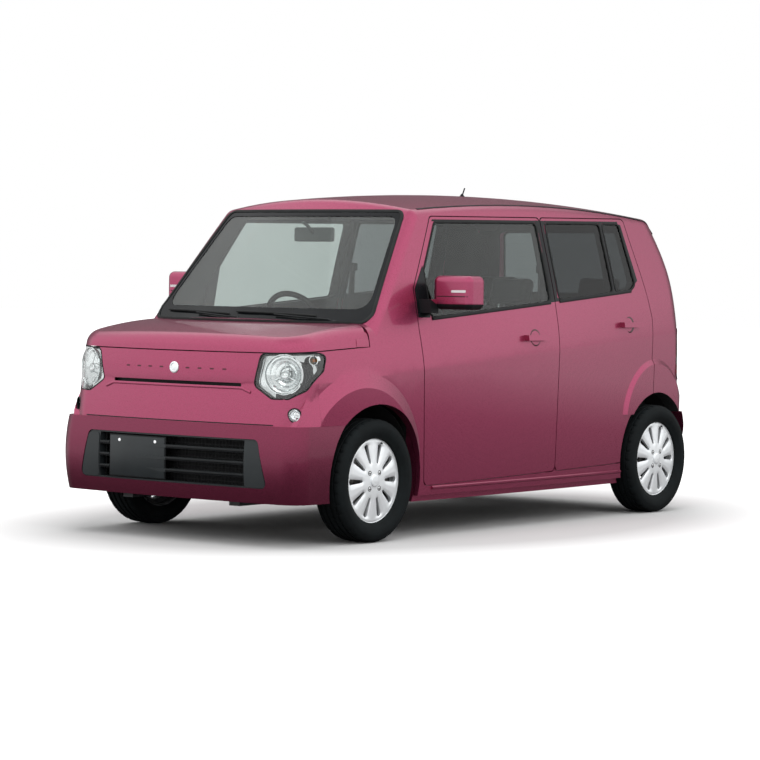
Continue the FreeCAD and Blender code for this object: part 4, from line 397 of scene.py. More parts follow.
def lathe(bm, profile, centre, axis, steps=48, index=0):
    """Revolves (along, radius) points about an axis; closed when the ends lie on it or meet."""
    centre, axis = V(centre), V(axis).normalized()
    side = axis.orthogonal().normalized()
    other = axis.cross(side)
    poles = {k: bm.verts.new(centre + axis * a) for k, (a, r) in enumerate(profile) if r < 1e-7}
    rings = []
    for angle in turns(steps):
        out = side * math.cos(angle) + other * math.sin(angle)
        rings.append([poles.get(k) or bm.verts.new(centre + axis * a + out * r)
                      for k, (a, r) in enumerate(profile)])
    for near, far in zip(rings, rings[1:] + rings[:1]):
        for k in range(len(profile) - 1):
            corners = list(dict.fromkeys((near[k], far[k], far[k + 1], near[k + 1])))
            if len(corners) > 2:
                bm.faces.new(corners).material_index = index


def heading(points, i, closed):
    """The direction of a path at one of its points."""
    before = points[i - 1] if (i or closed) else points[i]
    after = points[(i + 1) % len(points)] if (i < len(points) - 1 or closed) else points[i]
    return (after - before).normalized()


def tube(bm, points, radius, steps=10, closed=False, index=0, up=None):
    """A round bar along points; the radius is one number or a list with one for each point."""
    points = [V(p) for p in points]
    radii = radius if isinstance(radius, list) else [radius] * len(points)
    guide = V(up) if up else heading(points, 0, closed).orthogonal()
    rings = []
    for i, point in enumerate(points):
        along = heading(points, i, closed)
        side = (guide - along * guide.dot(along)).normalized()
        other = along.cross(side)
        if not up:
            guide = side
        rings.append([point + side * (math.cos(a) * radii[i]) + other * (math.sin(a) * radii[i])
                      for a in turns(steps)])
    swept(bm, rings, loop=closed, index=index)


def block(bm, corner, opposite, radius=0.004, segments=3, index=0):
    """A box with rounded edges between two opposite corners."""
    low, high = (V([pick(pair) for pair in zip(corner, opposite)]) for pick in (min, max))
    shape = Matrix.Translation((low + high) / 2) @ Matrix.Diagonal((*(high - low), 1))
    made = bmesh.ops.create_cube(bm, size=1.0, matrix=shape)["verts"]
    edges = list({e for v in made for e in v.link_edges})
    result = bmesh.ops.bevel(bm, geom=edges, offset=radius, segments=segments, profile=0.5, affect="EDGES")
    vertices = {v for f in result["faces"] for v in f.verts} | {v for v in made if v.is_valid}
    for face in {f for v in vertices for f in v.link_faces}:
        face.material_index = index


def cast(tree, point, direction):
    """The outermost spot of a surface beside a point, looked for from outside, and its outward normal."""
    outside = 3.0
    direction = V(direction).normalized()
    first = direction.orthogonal().normalized()
    second = direction.cross(first)
    point = V(point)
    for spread in (0.003, 0.008, 0.02, 0.05):
        best = None
        for a, b in ((0, 0), (1, 0), (-1, 0), (0, 1), (0, -1)):
            offset = first * (a * spread) + second * (b * spread)
            hit, normal, _, distance = tree.ray_cast(point + offset - direction * outside, direction)
            if hit is not None and (best is None or distance < best[0] - 0.0005):
                best = (distance, normal)
        if best:
            distance, normal = best
            if normal.dot(direction) > 0:
                normal = -normal
            if normal.dot(direction) > -0.35:
                normal = -direction
            return point + direction * (distance - outside), normal
    return tree.find_nearest(point)[0], -direction


def above(tree, point, direction, height):
    """The spot at a height over a surface."""
    spot, normal = cast(tree, point, direction)
    return spot + normal * height


def dense(points, step, closed=False):
    """Points at even steps along a path."""
    points = [V(p) for p in points]
    if closed:
        points.append(points[0])
    result = []
    for a, b in zip(points, points[1:]):
        parts = max(1, int((b - a).length / step + 0.5))
        result += [a.lerp(b, i / parts) for i in range(parts)]
    return result if closed else result + [points[-1]]


def strip(bm, tree, path, direction, width, height, closed=False, sink=0.002, step=0.03):
    """A slim rounded bead that follows a surface along a path."""
    places = [cast(tree, p, direction) for p in dense(path, step, closed)]
    points = [point for point, _ in places]
    half, shoulder = width / 2, 0.55
    profile = [(half, -sink), (half, height * shoulder), (half * shoulder, height)]
    profile = [(-u, v) for u, v in profile] + profile[::-1]
    rings = []
    for i, (point, normal) in enumerate(places):
        along = heading(points, i, closed)
        side = along.cross(normal).normalized()
        normal = side.cross(along).normalized()
        rings.append([point + side * u + normal * v for u, v in profile])
    swept(bm, rings, loop=closed)


def inside(p, loop):
    """Whether a flat point lies inside a closed outline."""
    found = False
    for a, b in zip(loop, loop[1:] + loop[:1]):
        if (a.y > p.y) != (b.y > p.y) and p.x < (b.x - a.x) * (p.y - a.y) / (b.y - a.y) + a.x:
            found = not found
    return found


def flat_mesh(loops, step):
    """Points and faces of an even flat mesh inside the first loop and outside the others."""
    points, edges = [], []
    for loop in loops:
        start = len(points)
        points += loop
        edges += [(start + i, start + (i + 1) % len(loop)) for i in range(len(loop))]
    low = V((min(p.x for p in loops[0]), min(p.y for p in loops[0])))
    high = V((max(p.x for p in loops[0]), max(p.y for p in loops[0])))
    margin = step * 0.55

    def within(p):
        return inside(p, loops[0]) and not any(inside(p, hole) for hole in loops[1:])

    for i in range(int((high.x - low.x) / step) + 1):
        for j in range(int((high.y - low.y) / step) + 1):
            p = V((low.x + (i + 0.5) * step, low.y + (j + 0.5) * step))
            if within(p) and all((p - q).length > margin for loop in loops for q in loop):
                points.append(p)
    result = delaunay_2d_cdt(points, edges, [], 0, 1e-6)
    flat, faces = result[0], result[2]
    return flat, [face for face in faces if within(sum((flat[i] for i in face), V((0, 0))) / len(face))]


def patch(bm, tree, outline, plane, direction, offset, thick, holes=(), step=0.02, index=0):
    """A thin plate that lies on a surface inside an outline; plane(u, v) gives a point in space."""
    loops = [[p.to_2d() for p in dense([(u, v, 0) for u, v in loop], step, True)]
             for loop in (outline, *holes)]
    flat, faces = flat_mesh(loops, step)
    places = [cast(tree, plane(p.x, p.y), direction) for p in flat]
    outer = [bm.verts.new(point + normal * offset) for point, normal in places]
    inner = [bm.verts.new(point + normal * (offset - thick)) for point, normal in places]
    sides = {}
    for face in faces:
        bm.faces.new([outer[i] for i in face]).material_index = index
        bm.faces.new([inner[i] for i in reversed(face)]).material_index = index
        sides.update(dict.fromkeys(zip(face, face[1:] + face[:1])))
    for a, b in sides:
        if (b, a) not in sides:
            bm.faces.new((outer[b], outer[a], inner[a], inner[b])).material_index = index
    for vertex in [v for v in bm.verts if not v.link_faces]:
        bm.verts.remove(vertex)


# Outlines

def turns(count):
    """Angles at even steps round a full turn."""
    return [2 * math.pi * i / count for i in range(count)]


def circle(u, v, wide, count, tall=None, power=1.0):
    """Points round a circle or an ellipse; a power below one squares it."""
    def stretch(part):
        return math.copysign(abs(part) ** power, part)

    tall = tall or wide
    return [(u + wide * stretch(math.cos(a)), v + tall * stretch(math.sin(a))) for a in turns(count)]


def rectangle(u0, v0, u1, v1):
    """A rectangle between two opposite corners."""
    return [(u0, v0), (u1, v0), (u1, v1), (u0, v1)]


def taper(half, v, other_half, other_v):
    """A shape as wide as twice one half at one height and twice the other at another."""
    return [(-half, v), (half, v), (other_half, other_v), (-other_half, other_v)]


def level(plane, start, end, v, count):
    """Points along a level line of a view."""
    return [plane(u, v) for u in np.linspace(start, end, count)]


def rounded(points, radius, steps=5):
    """An outline of (u, v) points with round corners."""
    points = [V((u, v)) for u, v in points]
    result = []
    for before, here, after in zip(points[-1:] + points, points, points[1:] + points[:1]):
        back, ahead = (before - here).normalized(), (after - here).normalized()
        half = math.acos(max(-1, min(1, back.dot(ahead)))) / 2
        reach = min(radius / math.tan(half), (before - here).length * 0.48, (after - here).length * 0.48)
        r = reach * math.tan(half)
        centre = here + (back + ahead).normalized() * (r / math.sin(half))
        start, end = here + back * reach, here + ahead * reach
        a0 = math.atan2(start.y - centre.y, start.x - centre.x)
        a1 = math.atan2(end.y - centre.y, end.x - centre.x)
        while a1 - a0 > math.pi:
            a1 -= 2 * math.pi
        while a1 - a0 < -math.pi:
            a1 += 2 * math.pi
        for k in range(steps + 1):
            a = a0 + (a1 - a0) * k / steps
            result.append((centre.x + r * math.cos(a), centre.y + r * math.sin(a)))
    return result


def outset(outline, offset):
    """An outline with each side moved out."""
    points = [V(p) for p in outline]
    area = sum(a.x * b.y - b.x * a.y for a, b in zip(points, points[1:] + points[:1]))
    sign = 1 if area > 0 else -1
    result = []
    for before, here, after in zip(points[-1:] + points, points, points[1:] + points[:1]):
        first, second = (here - before).normalized(), (after - here).normalized()
        n1, n2 = V((first.y, -first.x)) * sign, V((second.y, -second.x)) * sign
        bisector = (n1 + n2).normalized()
        result.append(tuple(here + bisector * (offset / max(0.3, bisector.dot(n1)))))
    return result


# The side view's outlines, in metres, as in the model

HEAD = 0.024
PILLAR_FOOT, PILLAR_TOP = (-0.760, 1.150), (-0.545, 1.489)
PILLAR = 0.040
DOOR_FRONT, FRONT_PANE_END, REAR_PANE_START = -0.664, 0.320, 0.400
REAR_PANE_END, QUARTER_START, QUARTER_END = 0.917, 0.943, 1.112


def belt(y):
    """Height of the windows' lower edge."""
    return 1.071 + 0.0808 * y


def door_top(y):
    """Height of the doors' upper edge."""
    return PILLAR_TOP[1] + 0.0214 * (y - PILLAR_TOP[0])


def window_outlines():
    """The front door's pane, the rear door's and the small one behind it."""
    high = door_top(PILLAR_TOP[0]) - HEAD
    run, rise = PILLAR_TOP[0] - PILLAR_FOOT[0], PILLAR_TOP[1] - PILLAR_FOOT[1]
    front_high = PILLAR_FOOT[0] + (high - PILLAR_FOOT[1]) / rise * run + PILLAR
    front_mid = PILLAR_FOOT[1] + (DOOR_FRONT - PILLAR - PILLAR_FOOT[0]) * rise / run

    def foot(y, lift=0.0):
        return y, belt(y) + lift

    def head(y):
        return y, door_top(y) - HEAD

    front = [foot(DOOR_FRONT), foot(FRONT_PANE_END), head(FRONT_PANE_END), (front_high, high),
             (DOOR_FRONT, front_mid)]
    rear = [foot(REAR_PANE_START), foot(REAR_PANE_END), head(REAR_PANE_END), head(REAR_PANE_START)]
    quarter = [foot(QUARTER_START), foot(1.098), foot(1.150, 0.026), head(QUARTER_END), head(QUARTER_START)]
    return front, rear, quarter


def side_plane(side):
    """Turns (u, v) of the side view into a point beside the car."""
    return lambda u, v: V((1.0 * side, u, v))


def front_plane(y, side=1):
    """Turns (u, v) of the front view into a point at a given y."""
    return lambda u, v: V((u * side, y, v))


# Finishes of the CAD nodes

def dress_nodes():
    """Gives every CAD node its materials, with other ones on faces that look into the cabin or down; the
    front bumper's lower part gets a darker copy of the paint, which is painted shade.
    """
    def door(centre, normal):
        side = 1 if centre.x > 0 else -1
        if centre.z > belt(centre.y) - 0.002 and normal.x * side < 0.6:
            return 2
        return 1 if normal.x * side < -0.3 and abs(centre.x) < 0.72 else 0

    def roof(centre, normal):
        return 1 if normal.z < -0.25 else 0

    def gate(centre, normal):
        return 1 if normal.y < -0.3 else 0

    # Faces below the bumper's ledge take the darker copy of the paint, which is painted shade.
    def bumper(centre, normal):
        return 1 if centre.z < 0.536 else 0

    def side(centre, normal):
        towards = 1 if centre.x > 0 else -1
        inward = normal.x * towards < -0.3 or normal.z < -0.6 or (normal.y < -0.5 and centre.y > 1.45)
        if abs(normal.x) < 0.6 and normal.z < 0.5 and -0.7 < centre.y < 1.2 and centre.z > belt(centre.y):
            return 2
        return 1 if inward and abs(centre.x) < 0.735 and centre.z > 0.3 else 0

    def floor(centre, normal):
        return 1 if normal.z > 0.2 or abs(centre.x) < 0.1 and centre.z > 0.24 and normal.z > -0.2 else 0

    def firewall(centre, normal):
        return 1 if normal.y > 0.3 or normal.z > 0.3 else 0

    def mirror(centre, normal):
        if abs(centre.x) < 0.70 or centre.z < 1.082:
            return 1
        return 2 if centre.y > -0.572 and normal.y > 0.9 and abs(centre.x) > 0.72 else 0

    dress("front_door_left front_door_right rear_door_left rear_door_right", PAINT, DOOR_TRIM, BLACK,
          where=door)
    dress("side_body_left side_body_right", PAINT, DOOR_TRIM, BLACK, where=side)
    dress("roof_panel", PAINT, HEADLINER, where=roof)
    dress("tailgate", PAINT, DOOR_TRIM, where=gate)
    dress("front_bumper", PAINT, SHADED_BUMPER_PAINT, where=bumper)
    dress("mirror_left mirror_right", PAINT, BLACK, MIRROR_GLASS, where=mirror)
    dress("floor_pan", UNDER, CARPET, where=floor)
    dress("firewall", UNDER, CARPET, where=firewall)
    for names, material in (
            ("front_fenders bonnet rear_bumper", PAINT), ("windscreen", SCREEN_GLASS),
            ("front_door_glass_left front_door_glass_right", DOOR_GLASS),
            ("rear_door_glass_left rear_door_glass_right tailgate_glass", REAR_GLASS),
            ("headlamp_lenses fog_lamps", LAMP_GLASS), ("tail_lamps", TAIL_RED), ("cowl", BLACK),
            ("front_grille", GRILLE), ("antenna", GLOSS_BLACK), ("dashboard", DASH), ("exhaust", EXHAUST),
            ("front_wheel_housings rear_wheel_housings fuel_tank", LINER),
            ("engine_block rack_housing", CAST),
            ("front_cradle rear_axle rear_dampers steering_rack rear_springs front_struts", STEEL),
            ("knuckle_left knuckle_right", IRON), ("radiator", FINS)):
        dress(names, material)
    for name, obj in NODES.items():
        limit = 16.0 if name in ("rear_bumper", "front_fenders") else 30.0
        smooth_normals(obj.data, 24.0 if name.startswith(("wheel", "mirror")) else limit)


# Windows: black frames, seals and printed edges

def frame_plates(end):
    """Outlines of the black plates round a door's panes, each with the step of its mesh."""
    front, rear, quarter = window_outlines()
    under, lap, edge = 0.004, 0.003, 0.012
    if end == "front":
        corner, top = front[3], door_top(0.357) - edge
        return [
            ([(0.316, belt(0.316) - under), (0.3565, belt(0.357) - under), (0.3565, top), (0.316, top)],
             0.03),
            ([(corner[0] - 0.018, corner[1] + lap), (0.318, front[2][1] + lap), (0.318, front[2][1] + edge),
              (corner[0] - 0.012, corner[1] + edge)], 0.02),
            ([(-0.756, 1.018), (-0.668, 1.018), (-0.668, front[4][1] + 0.02), (-0.752, 1.150)], 0.02)]
    top, corner = door_top(0.363) - edge, quarter[3]
    return [
        ([(0.3635, belt(0.3635) - under), (0.404, belt(0.404) - under), (0.404, top), (0.3635, top)], 0.03),
        ([(0.913, belt(0.913) - under), (0.947, belt(0.947) - under), (0.947, door_top(0.947) - 0.016),
          (0.913, door_top(0.913) - 0.016)], 0.03),
        ([(0.402, rear[3][1] + lap), (1.106, corner[1] + lap), (1.104, corner[1] + edge),
          (0.402, rear[3][1] + edge)], 0.02),
        ([(1.152, belt(1.15) + 0.03), (1.178, belt(1.15) + 0.045), (1.130, door_top(corner[0]) - 0.03),
          (1.114, door_top(corner[0]) - 0.026)], 0.02)]


def side_windows():
    """Each side door's pane seals, black plates and belt moulding."""
    front, rear, quarter = window_outlines()
    for hand, side in SIDES:
        plane, direction = side_plane(side), (-side, 0, 0)
        for end, panes, low, high in (("front", [front], -0.655, 0.318),
                                      ("rear", [rear, quarter], 0.402, 1.095)):
            body = end + "_door_" + hand
            tree = surface(body, end + "_door_glass_" + hand)
            bm = bmesh.new()
            for pane in panes:
                path = [plane(u, v) for u, v in rounded(pane, 0.026)]
                strip(bm, tree, path, direction, 0.011, 0.0026, True, 0.004, 0.025)
            piece(end + "_window_seal_" + hand, bm, body, SEAL)
            bm = bmesh.new()
            for outline, step in frame_plates(end):
                patch(bm, tree, outline, plane, direction, 0.0012, 0.003, step=step)
            piece(end + "_window_frame_" + hand, bm, body, GLOSS_BLACK, 30)
            bm = bmesh.new()
            path = [plane(y, belt(y) - 0.005) for y in np.linspace(low, high, 24)]
            strip(bm, tree, path, direction, 0.016, 0.0045, sink=0.003, step=0.04)
            piece(end + "_belt_moulding_" + hand, bm, body, BLACK)


def screen_edge():
    """The windscreen's black printed border and its outer moulding."""
    body_tree = surface("windscreen", "roof_panel", "side_body_left", "side_body_right", "cowl", "bonnet")
    glass_edge = taper(0.655, 0.990, 0.528, 1.512)
    border_edge = taper(0.612, 1.052, 0.508, 1.486)
    plane = front_plane(-2.0)
    bm = bmesh.new()
    patch(bm, surface("windscreen"), rounded(outset(glass_edge, -0.004), 0.042), plane, REARWARD,
          0.0006, 0.0016, [rounded(border_edge, 0.05)], step=0.028)
    piece("windscreen_border", bm, "body", GLOSS_BLACK, 30)
    bm = bmesh.new()
    path = [plane(u, v) for u, v in rounded(glass_edge, 0.045)]
    strip(bm, body_tree, path, REARWARD, 0.016, 0.003, True, 0.004)
    piece("windscreen_moulding", bm, "body", SEAL)


def bonnet_corners():
    """The bonnet's rear corners, carried back beside the fenders."""
    edge = [(0.640, 0.9655), (0.6548, 0.9608), (0.668, 0.9520), (0.6772, 0.9425), (0.6862, 0.9168),
            (0.6900, 0.8944), (0.6908, 0.8865)]
    for hand, side in SIDES:
        bm = bmesh.new()
        rings = []
        for y, sink in ((-1.215, 0.0030), (-1.170, 0.0012), (-1.128, 0.0006)):
            rings.append([V(((x - sink) * side, y, z - sink * 0.5)) for x, z in edge]
                         + [V(((x - sink - 0.005) * side, y, z - 0.004)) for x, z in reversed(edge)])
        swept(bm, rings)
        piece("bonnet_corner_" + hand, bm, "bonnet", PAINT)


def add_wipers():
    """Two front wipers that rest along the windscreen's foot, and their spindles in the cowl."""
    tree, plane = surface("windscreen", "cowl"), front_plane(-2.0)
    blade_radius, blade_points = 0.0055, 14
    bm = bmesh.new()
    for pivot_x, tip_x, reach in ((0.48, -0.08, 0.055), (-0.02, -0.56, 0.05)):
        span = tip_x - pivot_x
        blade = []
        for t in np.linspace(0.18, 1.0, blade_points):
            spot = plane(pivot_x + span * t, 1.010 + 0.016 * t + reach * t * (1 - t) * 0.2)
            blade.append(above(tree, spot, REARWARD, 0.007))
        tube(bm, blade, [0.0035] + [blade_radius] * (blade_points - 2) + [0.0035], 8, index=1)
        arm = [above(tree, plane(x, z), REARWARD, height) for x, z, height in (
            (pivot_x, 0.990, 0.004), (pivot_x - 0.03, 0.999, 0.008), (pivot_x + span * 0.35, 1.006, 0.011),
            (pivot_x + span * 0.58, 1.014, 0.012))]
        tube(bm, dense(arm, 0.03), 0.0042, 8)
        hub = above(tree, plane(pivot_x, 0.990), REARWARD, 0.0)
        lathe(bm, [(-0.004, 0.0), (-0.004, 0.013), (0.006, 0.013), (0.010, 0.008), (0.010, 0.0)], hub,
              (0, -0.5, 0.85), 20)
    piece("windscreen_wipers", bm, "body", [BLACK, SEAL])


# Lamps

LAMP = [(-0.107, 0.853), (0.152, 0.861), (0.150, 0.782), (0.104, 0.697), (0.032, 0.658), (-0.048, 0.658),
        (-0.140, 0.714)]
LAMP_MIDDLE_Z = 0.765
BOWL_Z, BOWL_RADIUS = 0.764, 0.088
TURN_U, TURN_Z, TURN_RADIUS = 0.114, 0.828, 0.020


class Lamp:
    """A lamp's own directions: across its face and ahead of it, with the lens that covers it."""

    def __init__(self, side, turn, lens):
        angle = math.radians(turn)
        self.across = V((math.cos(angle) * side, math.sin(angle), 0))
        self.ahead = V((math.sin(angle) * side, -math.cos(angle), 0))
        self.lens = lens

    def at(self, u, z, s):
        """A point by its place across, its height and how far ahead it is."""
        return self.across * u + V((0, 0, z)) + self.ahead * s

    def lens_at(self, u, z):
        """How far ahead the lens is at a place."""
        return cast(self.lens, self.at(u, z, 2.0), -self.ahead)[0].dot(self.ahead)


def lamp_shell(bm, lamp, outline):
    """The reflector's outer wall, which narrows towards the back."""
    rings = []
    for scale, depth, most in ((1.0, 0.0095, math.inf), (0.985, 0.045, 1.60), (0.93, 0.066, math.inf)):
        rings.append([lamp.at(u * scale, LAMP_MIDDLE_Z + (z - LAMP_MIDDLE_Z) * scale,
                              min(lamp.lens_at(u, z) - depth, most)) for u, z in outline])
    swept(bm, rings, caps=False)


def lamp_bezel(bm, lamp, outline):
    """The plate round the bowl and the turn lamp, dark in a crescent beside the bowl."""
    made = len(bm.faces)
    holes = [circle(0.0, BOWL_Z, BOWL_RADIUS, 40), circle(TURN_U, TURN_Z, TURN_RADIUS, 24)]
    patch(bm, lamp.lens, outset(outline, -0.002), lambda u, v: lamp.at(u, v, 2.0), -lamp.ahead, -0.024, 0.002,
          holes, step=0.014)
    for face in list(bm.faces)[made:]:
        middle = face.calc_center_median()
        u, v = middle.dot(lamp.across), middle.z - BOWL_Z
        crescent = -110 < math.degrees(math.atan2(v, u)) < 38 and math.hypot(v, u) < BOWL_RADIUS + 0.026
        face.material_index = 1 if crescent else 2


def lamp_bulbs(bm, lamp, seat):
    """The bulb with its cap on three legs in the bowl, and the amber bulb in the turn lamp's cup."""
    ahead = lamp.ahead
    lathe(bm, [(-0.058, 0.0), (-0.058, 0.013), (-0.036, 0.013), (-0.026, 0.010), (-0.022, 0.0)],
          seat, ahead, 24, 3)
    lathe(bm, [(-0.030, 0.0), (-0.030, 0.020), (-0.022, 0.019), (-0.014, 0.012), (-0.011, 0.0)],
          seat - V((0, 0, 0.004)), ahead, 24)
    for a in (math.radians(90), math.radians(210), math.radians(330)):
        out = lamp.across * math.cos(a) + V((0, 0, math.sin(a)))
        tube(bm, [seat + out * 0.016 - ahead * 0.025, seat + out * 0.058 - ahead * 0.040], 0.0024, 6)
    spot = lamp.at(TURN_U, TURN_Z, lamp.lens_at(TURN_U, TURN_Z) - 0.020)
    lathe(bm, [(-0.040, 0.0), (-0.038, 0.014), (-0.020, 0.026), (-0.006, TURN_RADIUS),
               (0.0, TURN_RADIUS + 0.002), (0.0, TURN_RADIUS - 0.002)], spot, ahead, 32)
    lathe(bm, [(-0.034, 0.0), (-0.034, 0.008), (-0.014, 0.008), (-0.008, 0.0)], spot, ahead, 16, 4)


def headlamps():
    """The inside of each headlamp: a back shell, a bright faceted bowl, a turn lamp, and the seal outside."""
    lenses = surface("headlamp_lenses")
    body_tree = surface("headlamp_lenses", "front_fenders", "front_bumper", "bonnet")
    outline = rounded(outset(LAMP, -0.005), 0.022, 4)
    bowl = [(a * 0.9, r) for a, r in (
        (-0.062, 0.0), (-0.061, 0.016), (-0.054, 0.040), (-0.043, 0.060), (-0.028, 0.077),
        (-0.020, BOWL_RADIUS), (-0.012, BOWL_RADIUS + 0.003), (-0.012, BOWL_RADIUS - 0.001),
        (-0.022, BOWL_RADIUS - 0.004))]
    facets = bowl[:1]
    for (a0, r0), (a1, r1) in zip(bowl[:5], bowl[1:6]):
        facets += [((a0 + a1) / 2 - 0.0022, (r0 + r1) / 2), (a1, r1)]
    for hand, side in SIDES:
        lamp = Lamp(side, 20.0, lenses)
        seat = lamp.at(0.0, BOWL_Z, lamp.lens_at(0.0, BOWL_Z) - 0.012)
        bm = bmesh.new()
        lamp_shell(bm, lamp, outline)
        lamp_bezel(bm, lamp, outline)
        lathe(bm, bowl[5:], seat, lamp.ahead, 40)
        lamp_bulbs(bm, lamp, seat)
        piece("headlamp_unit_" + hand, bm, "body", [REFLECTOR, GLOSS_BLACK, REFLECTOR, LAMP_GLASS, AMBER],
              35, "headlamp_housings")
        bm = bmesh.new()
        lathe(bm, facets, seat, lamp.ahead, 18)
        piece("headlamp_bowl_" + hand, bm, "body", REFLECTOR, 6, "headlamp_housings")
        bm = bmesh.new()
        path = [lamp.at(u, z, 1.9) for u, z in rounded(outset(LAMP, 0.001), 0.027, 4)]
        strip(bm, body_tree, path, -lamp.ahead, 0.0055, 0.0004, True, 0.004, 0.02)
        piece("headlamp_seal_" + hand, bm, "body", SEAL)


def round_lamps():
    """The small round lamps in the bumper: bowl, bulb and bezel ring."""
    lenses, bumper = surface("fog_lamps"), surface("front_bumper")
    for hand, side in SIDES:
        lamp = Lamp(side, 28.0, lenses)
        ahead = lamp.ahead
        outside = V((0.655 * side, -1.616, 0.588)) + ahead * 0.5
        centre, _ = cast(lenses, outside, -ahead)
        bm = bmesh.new()
        lathe(bm, [(-0.038, 0.0), (-0.036, 0.012), (-0.020, 0.0225), (-0.0105, 0.0235), (-0.0105, 0.0255),
                   (-0.040, 0.0255), (-0.042, 0.0)], centre, ahead, 32)
        lathe(bm, [(-0.036, 0.0), (-0.036, 0.006), (-0.016, 0.006), (-0.012, 0.0)], centre, ahead, 16, 1)
        piece("round_lamp_bowl_" + hand, bm, "body", [CHROME, LAMP_GLASS])
        bm = bmesh.new()
        rim, _ = cast(bumper, outside + lamp.across * 0.032, -ahead)
        lift = (rim - centre).dot(ahead)
        lathe(bm, [(-0.012, 0.0258), (0.003, 0.0258), (0.0055, 0.028), (0.004, 0.032), (-0.003, 0.0335),
                   (-0.012, 0.032), (-0.012, 0.0258)], centre + ahead * (lift * 0.4), ahead, 40)
        piece("round_lamp_ring_" + hand, bm, "body", GLOSS_BLACK)


# Nose details

def nose_slit(tree, plane):
    """The dark slit's inside: a rim that follows the nose, and a back."""
    bm = bmesh.new()
    places = []
    for u, v in rounded(rectangle(-0.380, 0.7045, 0.380, 0.7215), 0.0055):
        point, _ = cast(tree, plane(u + math.copysign(0.004, u), 0.732), REARWARD)
        places.append(V((u, point.y, v)))
    rim = dense(places, 0.03, True)
    made = swept(bm, [[p + V((0, depth, 0)) for p in rim] for depth in (0.002, 0.022)], caps=False)
    bm.faces.new(made[1])
    piece("nose_slit_liner", bm, "body", BLACK, 30)


def nose():
    """The dark slit and its lip, the raised dashes painted dark as painted shade of slots, the plain boss and
    the bumper's shut line.
    """
    tree, plane = surface("front_bumper"), front_plane(-2.2)
    nose_slit(tree, plane)
    bm = bmesh.new()
    end = [(0.385, 0.6995), (0.405, 0.692), (0.432, 0.682)]
    lip = [(-u, v) for u, v in reversed(end)] + end
    strip(bm, tree, [plane(u, v) for u, v in lip], REARWARD, 0.013, 0.0045, step=0.02)
    piece("nose_scoop_lip", bm, "body", PAINT)
    bm = bmesh.new()
    for sign in (-1, 1):
        for k in range(4):
            x = sign * (0.078 + 0.070 * k)
            dash = rounded(rectangle(x - 0.011, 0.7765, x + 0.011, 0.7835), 0.003, 3)
            patch(bm, tree, dash, plane, REARWARD, 0.0007, 0.002, step=0.006)
    # The dashes' dark paint is painted shade that stands for slots.
    piece("nose_dashes", bm, "body", RECESS_SHADE_PAINT)
    bm = bmesh.new()
    point, normal = cast(tree, plane(0.0, 0.780), REARWARD)
    lathe(bm, [(-0.002, 0.0), (-0.002, 0.026), (0.003, 0.026), (0.0055, 0.023), (0.0055, 0.019),
               (0.003, 0.017), (0.0045, 0.008), (0.005, 0.0)], point, normal)
    piece("nose_boss", bm, "body", SILVER)
    bm = bmesh.new()
    strip(bm, tree, level(plane, -0.56, 0.56, 0.5415, 30), REARWARD, 0.005, 0.0006, step=0.04)
    piece("bumper_shut_line", bm, "body", BLACK)


def front_plate():
    """A blank number plate on its carrier, with two screws and two brackets."""
    bm = bmesh.new()
    block(bm, (-0.357, -1.6965, 0.277), (-0.026, -1.6925, 0.459), 0.0015, 2)
    block(bm, (-0.362, -1.6935, 0.272), (-0.021, -1.6890, 0.464), 0.002, 2, 1)
    for x in (-0.30, -0.083):
        lathe(bm, [(-0.001, 0.0), (-0.001, 0.008), (0.0008, 0.0075), (0.0012, 0.0)], (x, -1.6962, 0.440),
              FORWARD, 20, 2)
        block(bm, (x - 0.012, -1.692, 0.40), (x + 0.012, -1.672, 0.43), 0.002, 2, 1)
    piece("front_plate_blank", bm, "body", [PLATE, BLACK, CHROME])


def grille_detail():
    """Raised end blocks and thin slat noses on the grille."""
    tree, plane = surface("front_grille"), front_plane(-2.2)
    bm = bmesh.new()
    for sign in (-1, 1):
        outline = [(sign * 0.436, 0.266), (sign * 0.553, 0.266), (sign * 0.506, 0.466), (sign * 0.436, 0.466)]
        patch(bm, tree, rounded(outline, 0.018), plane, REARWARD, 0.0035, 0.005)
    piece("grille_end_blocks", bm, "body", GRILLE, 30)
    bm = bmesh.new()
    for k in range(1, 4):
        for x0, x1 in ((-0.43, -0.368), (-0.015, 0.43)):
            strip(bm, tree, level(plane, x0, x1, 0.262 + 0.054 * k, 12), REARWARD, 0.012, 0.003, step=0.05)
    piece("grille_slat_noses", bm, "body", GLOSS_BLACK)


def grille_back():
    """A fine mesh and an air duct behind the grille."""
    bm = bmesh.new()
    y, wire, pitch = -1.640, 0.0016, 0.02
    for i in range(44):
        x = -0.43 + pitch * i
        tube(bm, [(x, y, 0.258), (x, y, 0.484)], wire, 4)
    for i in range(12):
        z = 0.262 + pitch * i
        tube(bm, [(-0.435, y - 0.002, z), (0.435, y - 0.002, z)], wire, 4)
    for x in (-0.435, 0.435):
        block(bm, (x - 0.01, y - 0.006, 0.255), (x + 0.01, y + 0.006, 0.487), 0.002, 2)
        tube(bm, [(x, y, 0.36), (x, -1.585, 0.36)], 0.004, 6)
    piece("grille_mesh", bm, "body", BLACK)
    bm = bmesh.new()
    end, back = -1.648, -1.614
    for corner, opposite in (((-0.500, -1.618, 0.250), (0.500, back, 0.490)),
                             ((-0.500, end, 0.246), (0.500, back, 0.251)),
                             ((-0.500, end, 0.489), (0.500, back, 0.494)),
                             ((-0.500, end, 0.250), (-0.496, back, 0.490)),
                             ((0.500, end, 0.250), (0.496, back, 0.490))):
        block(bm, corner, opposite, 0.0015, 2)
    piece("grille_air_duct", bm, "body", LINER, 30)


# Doors

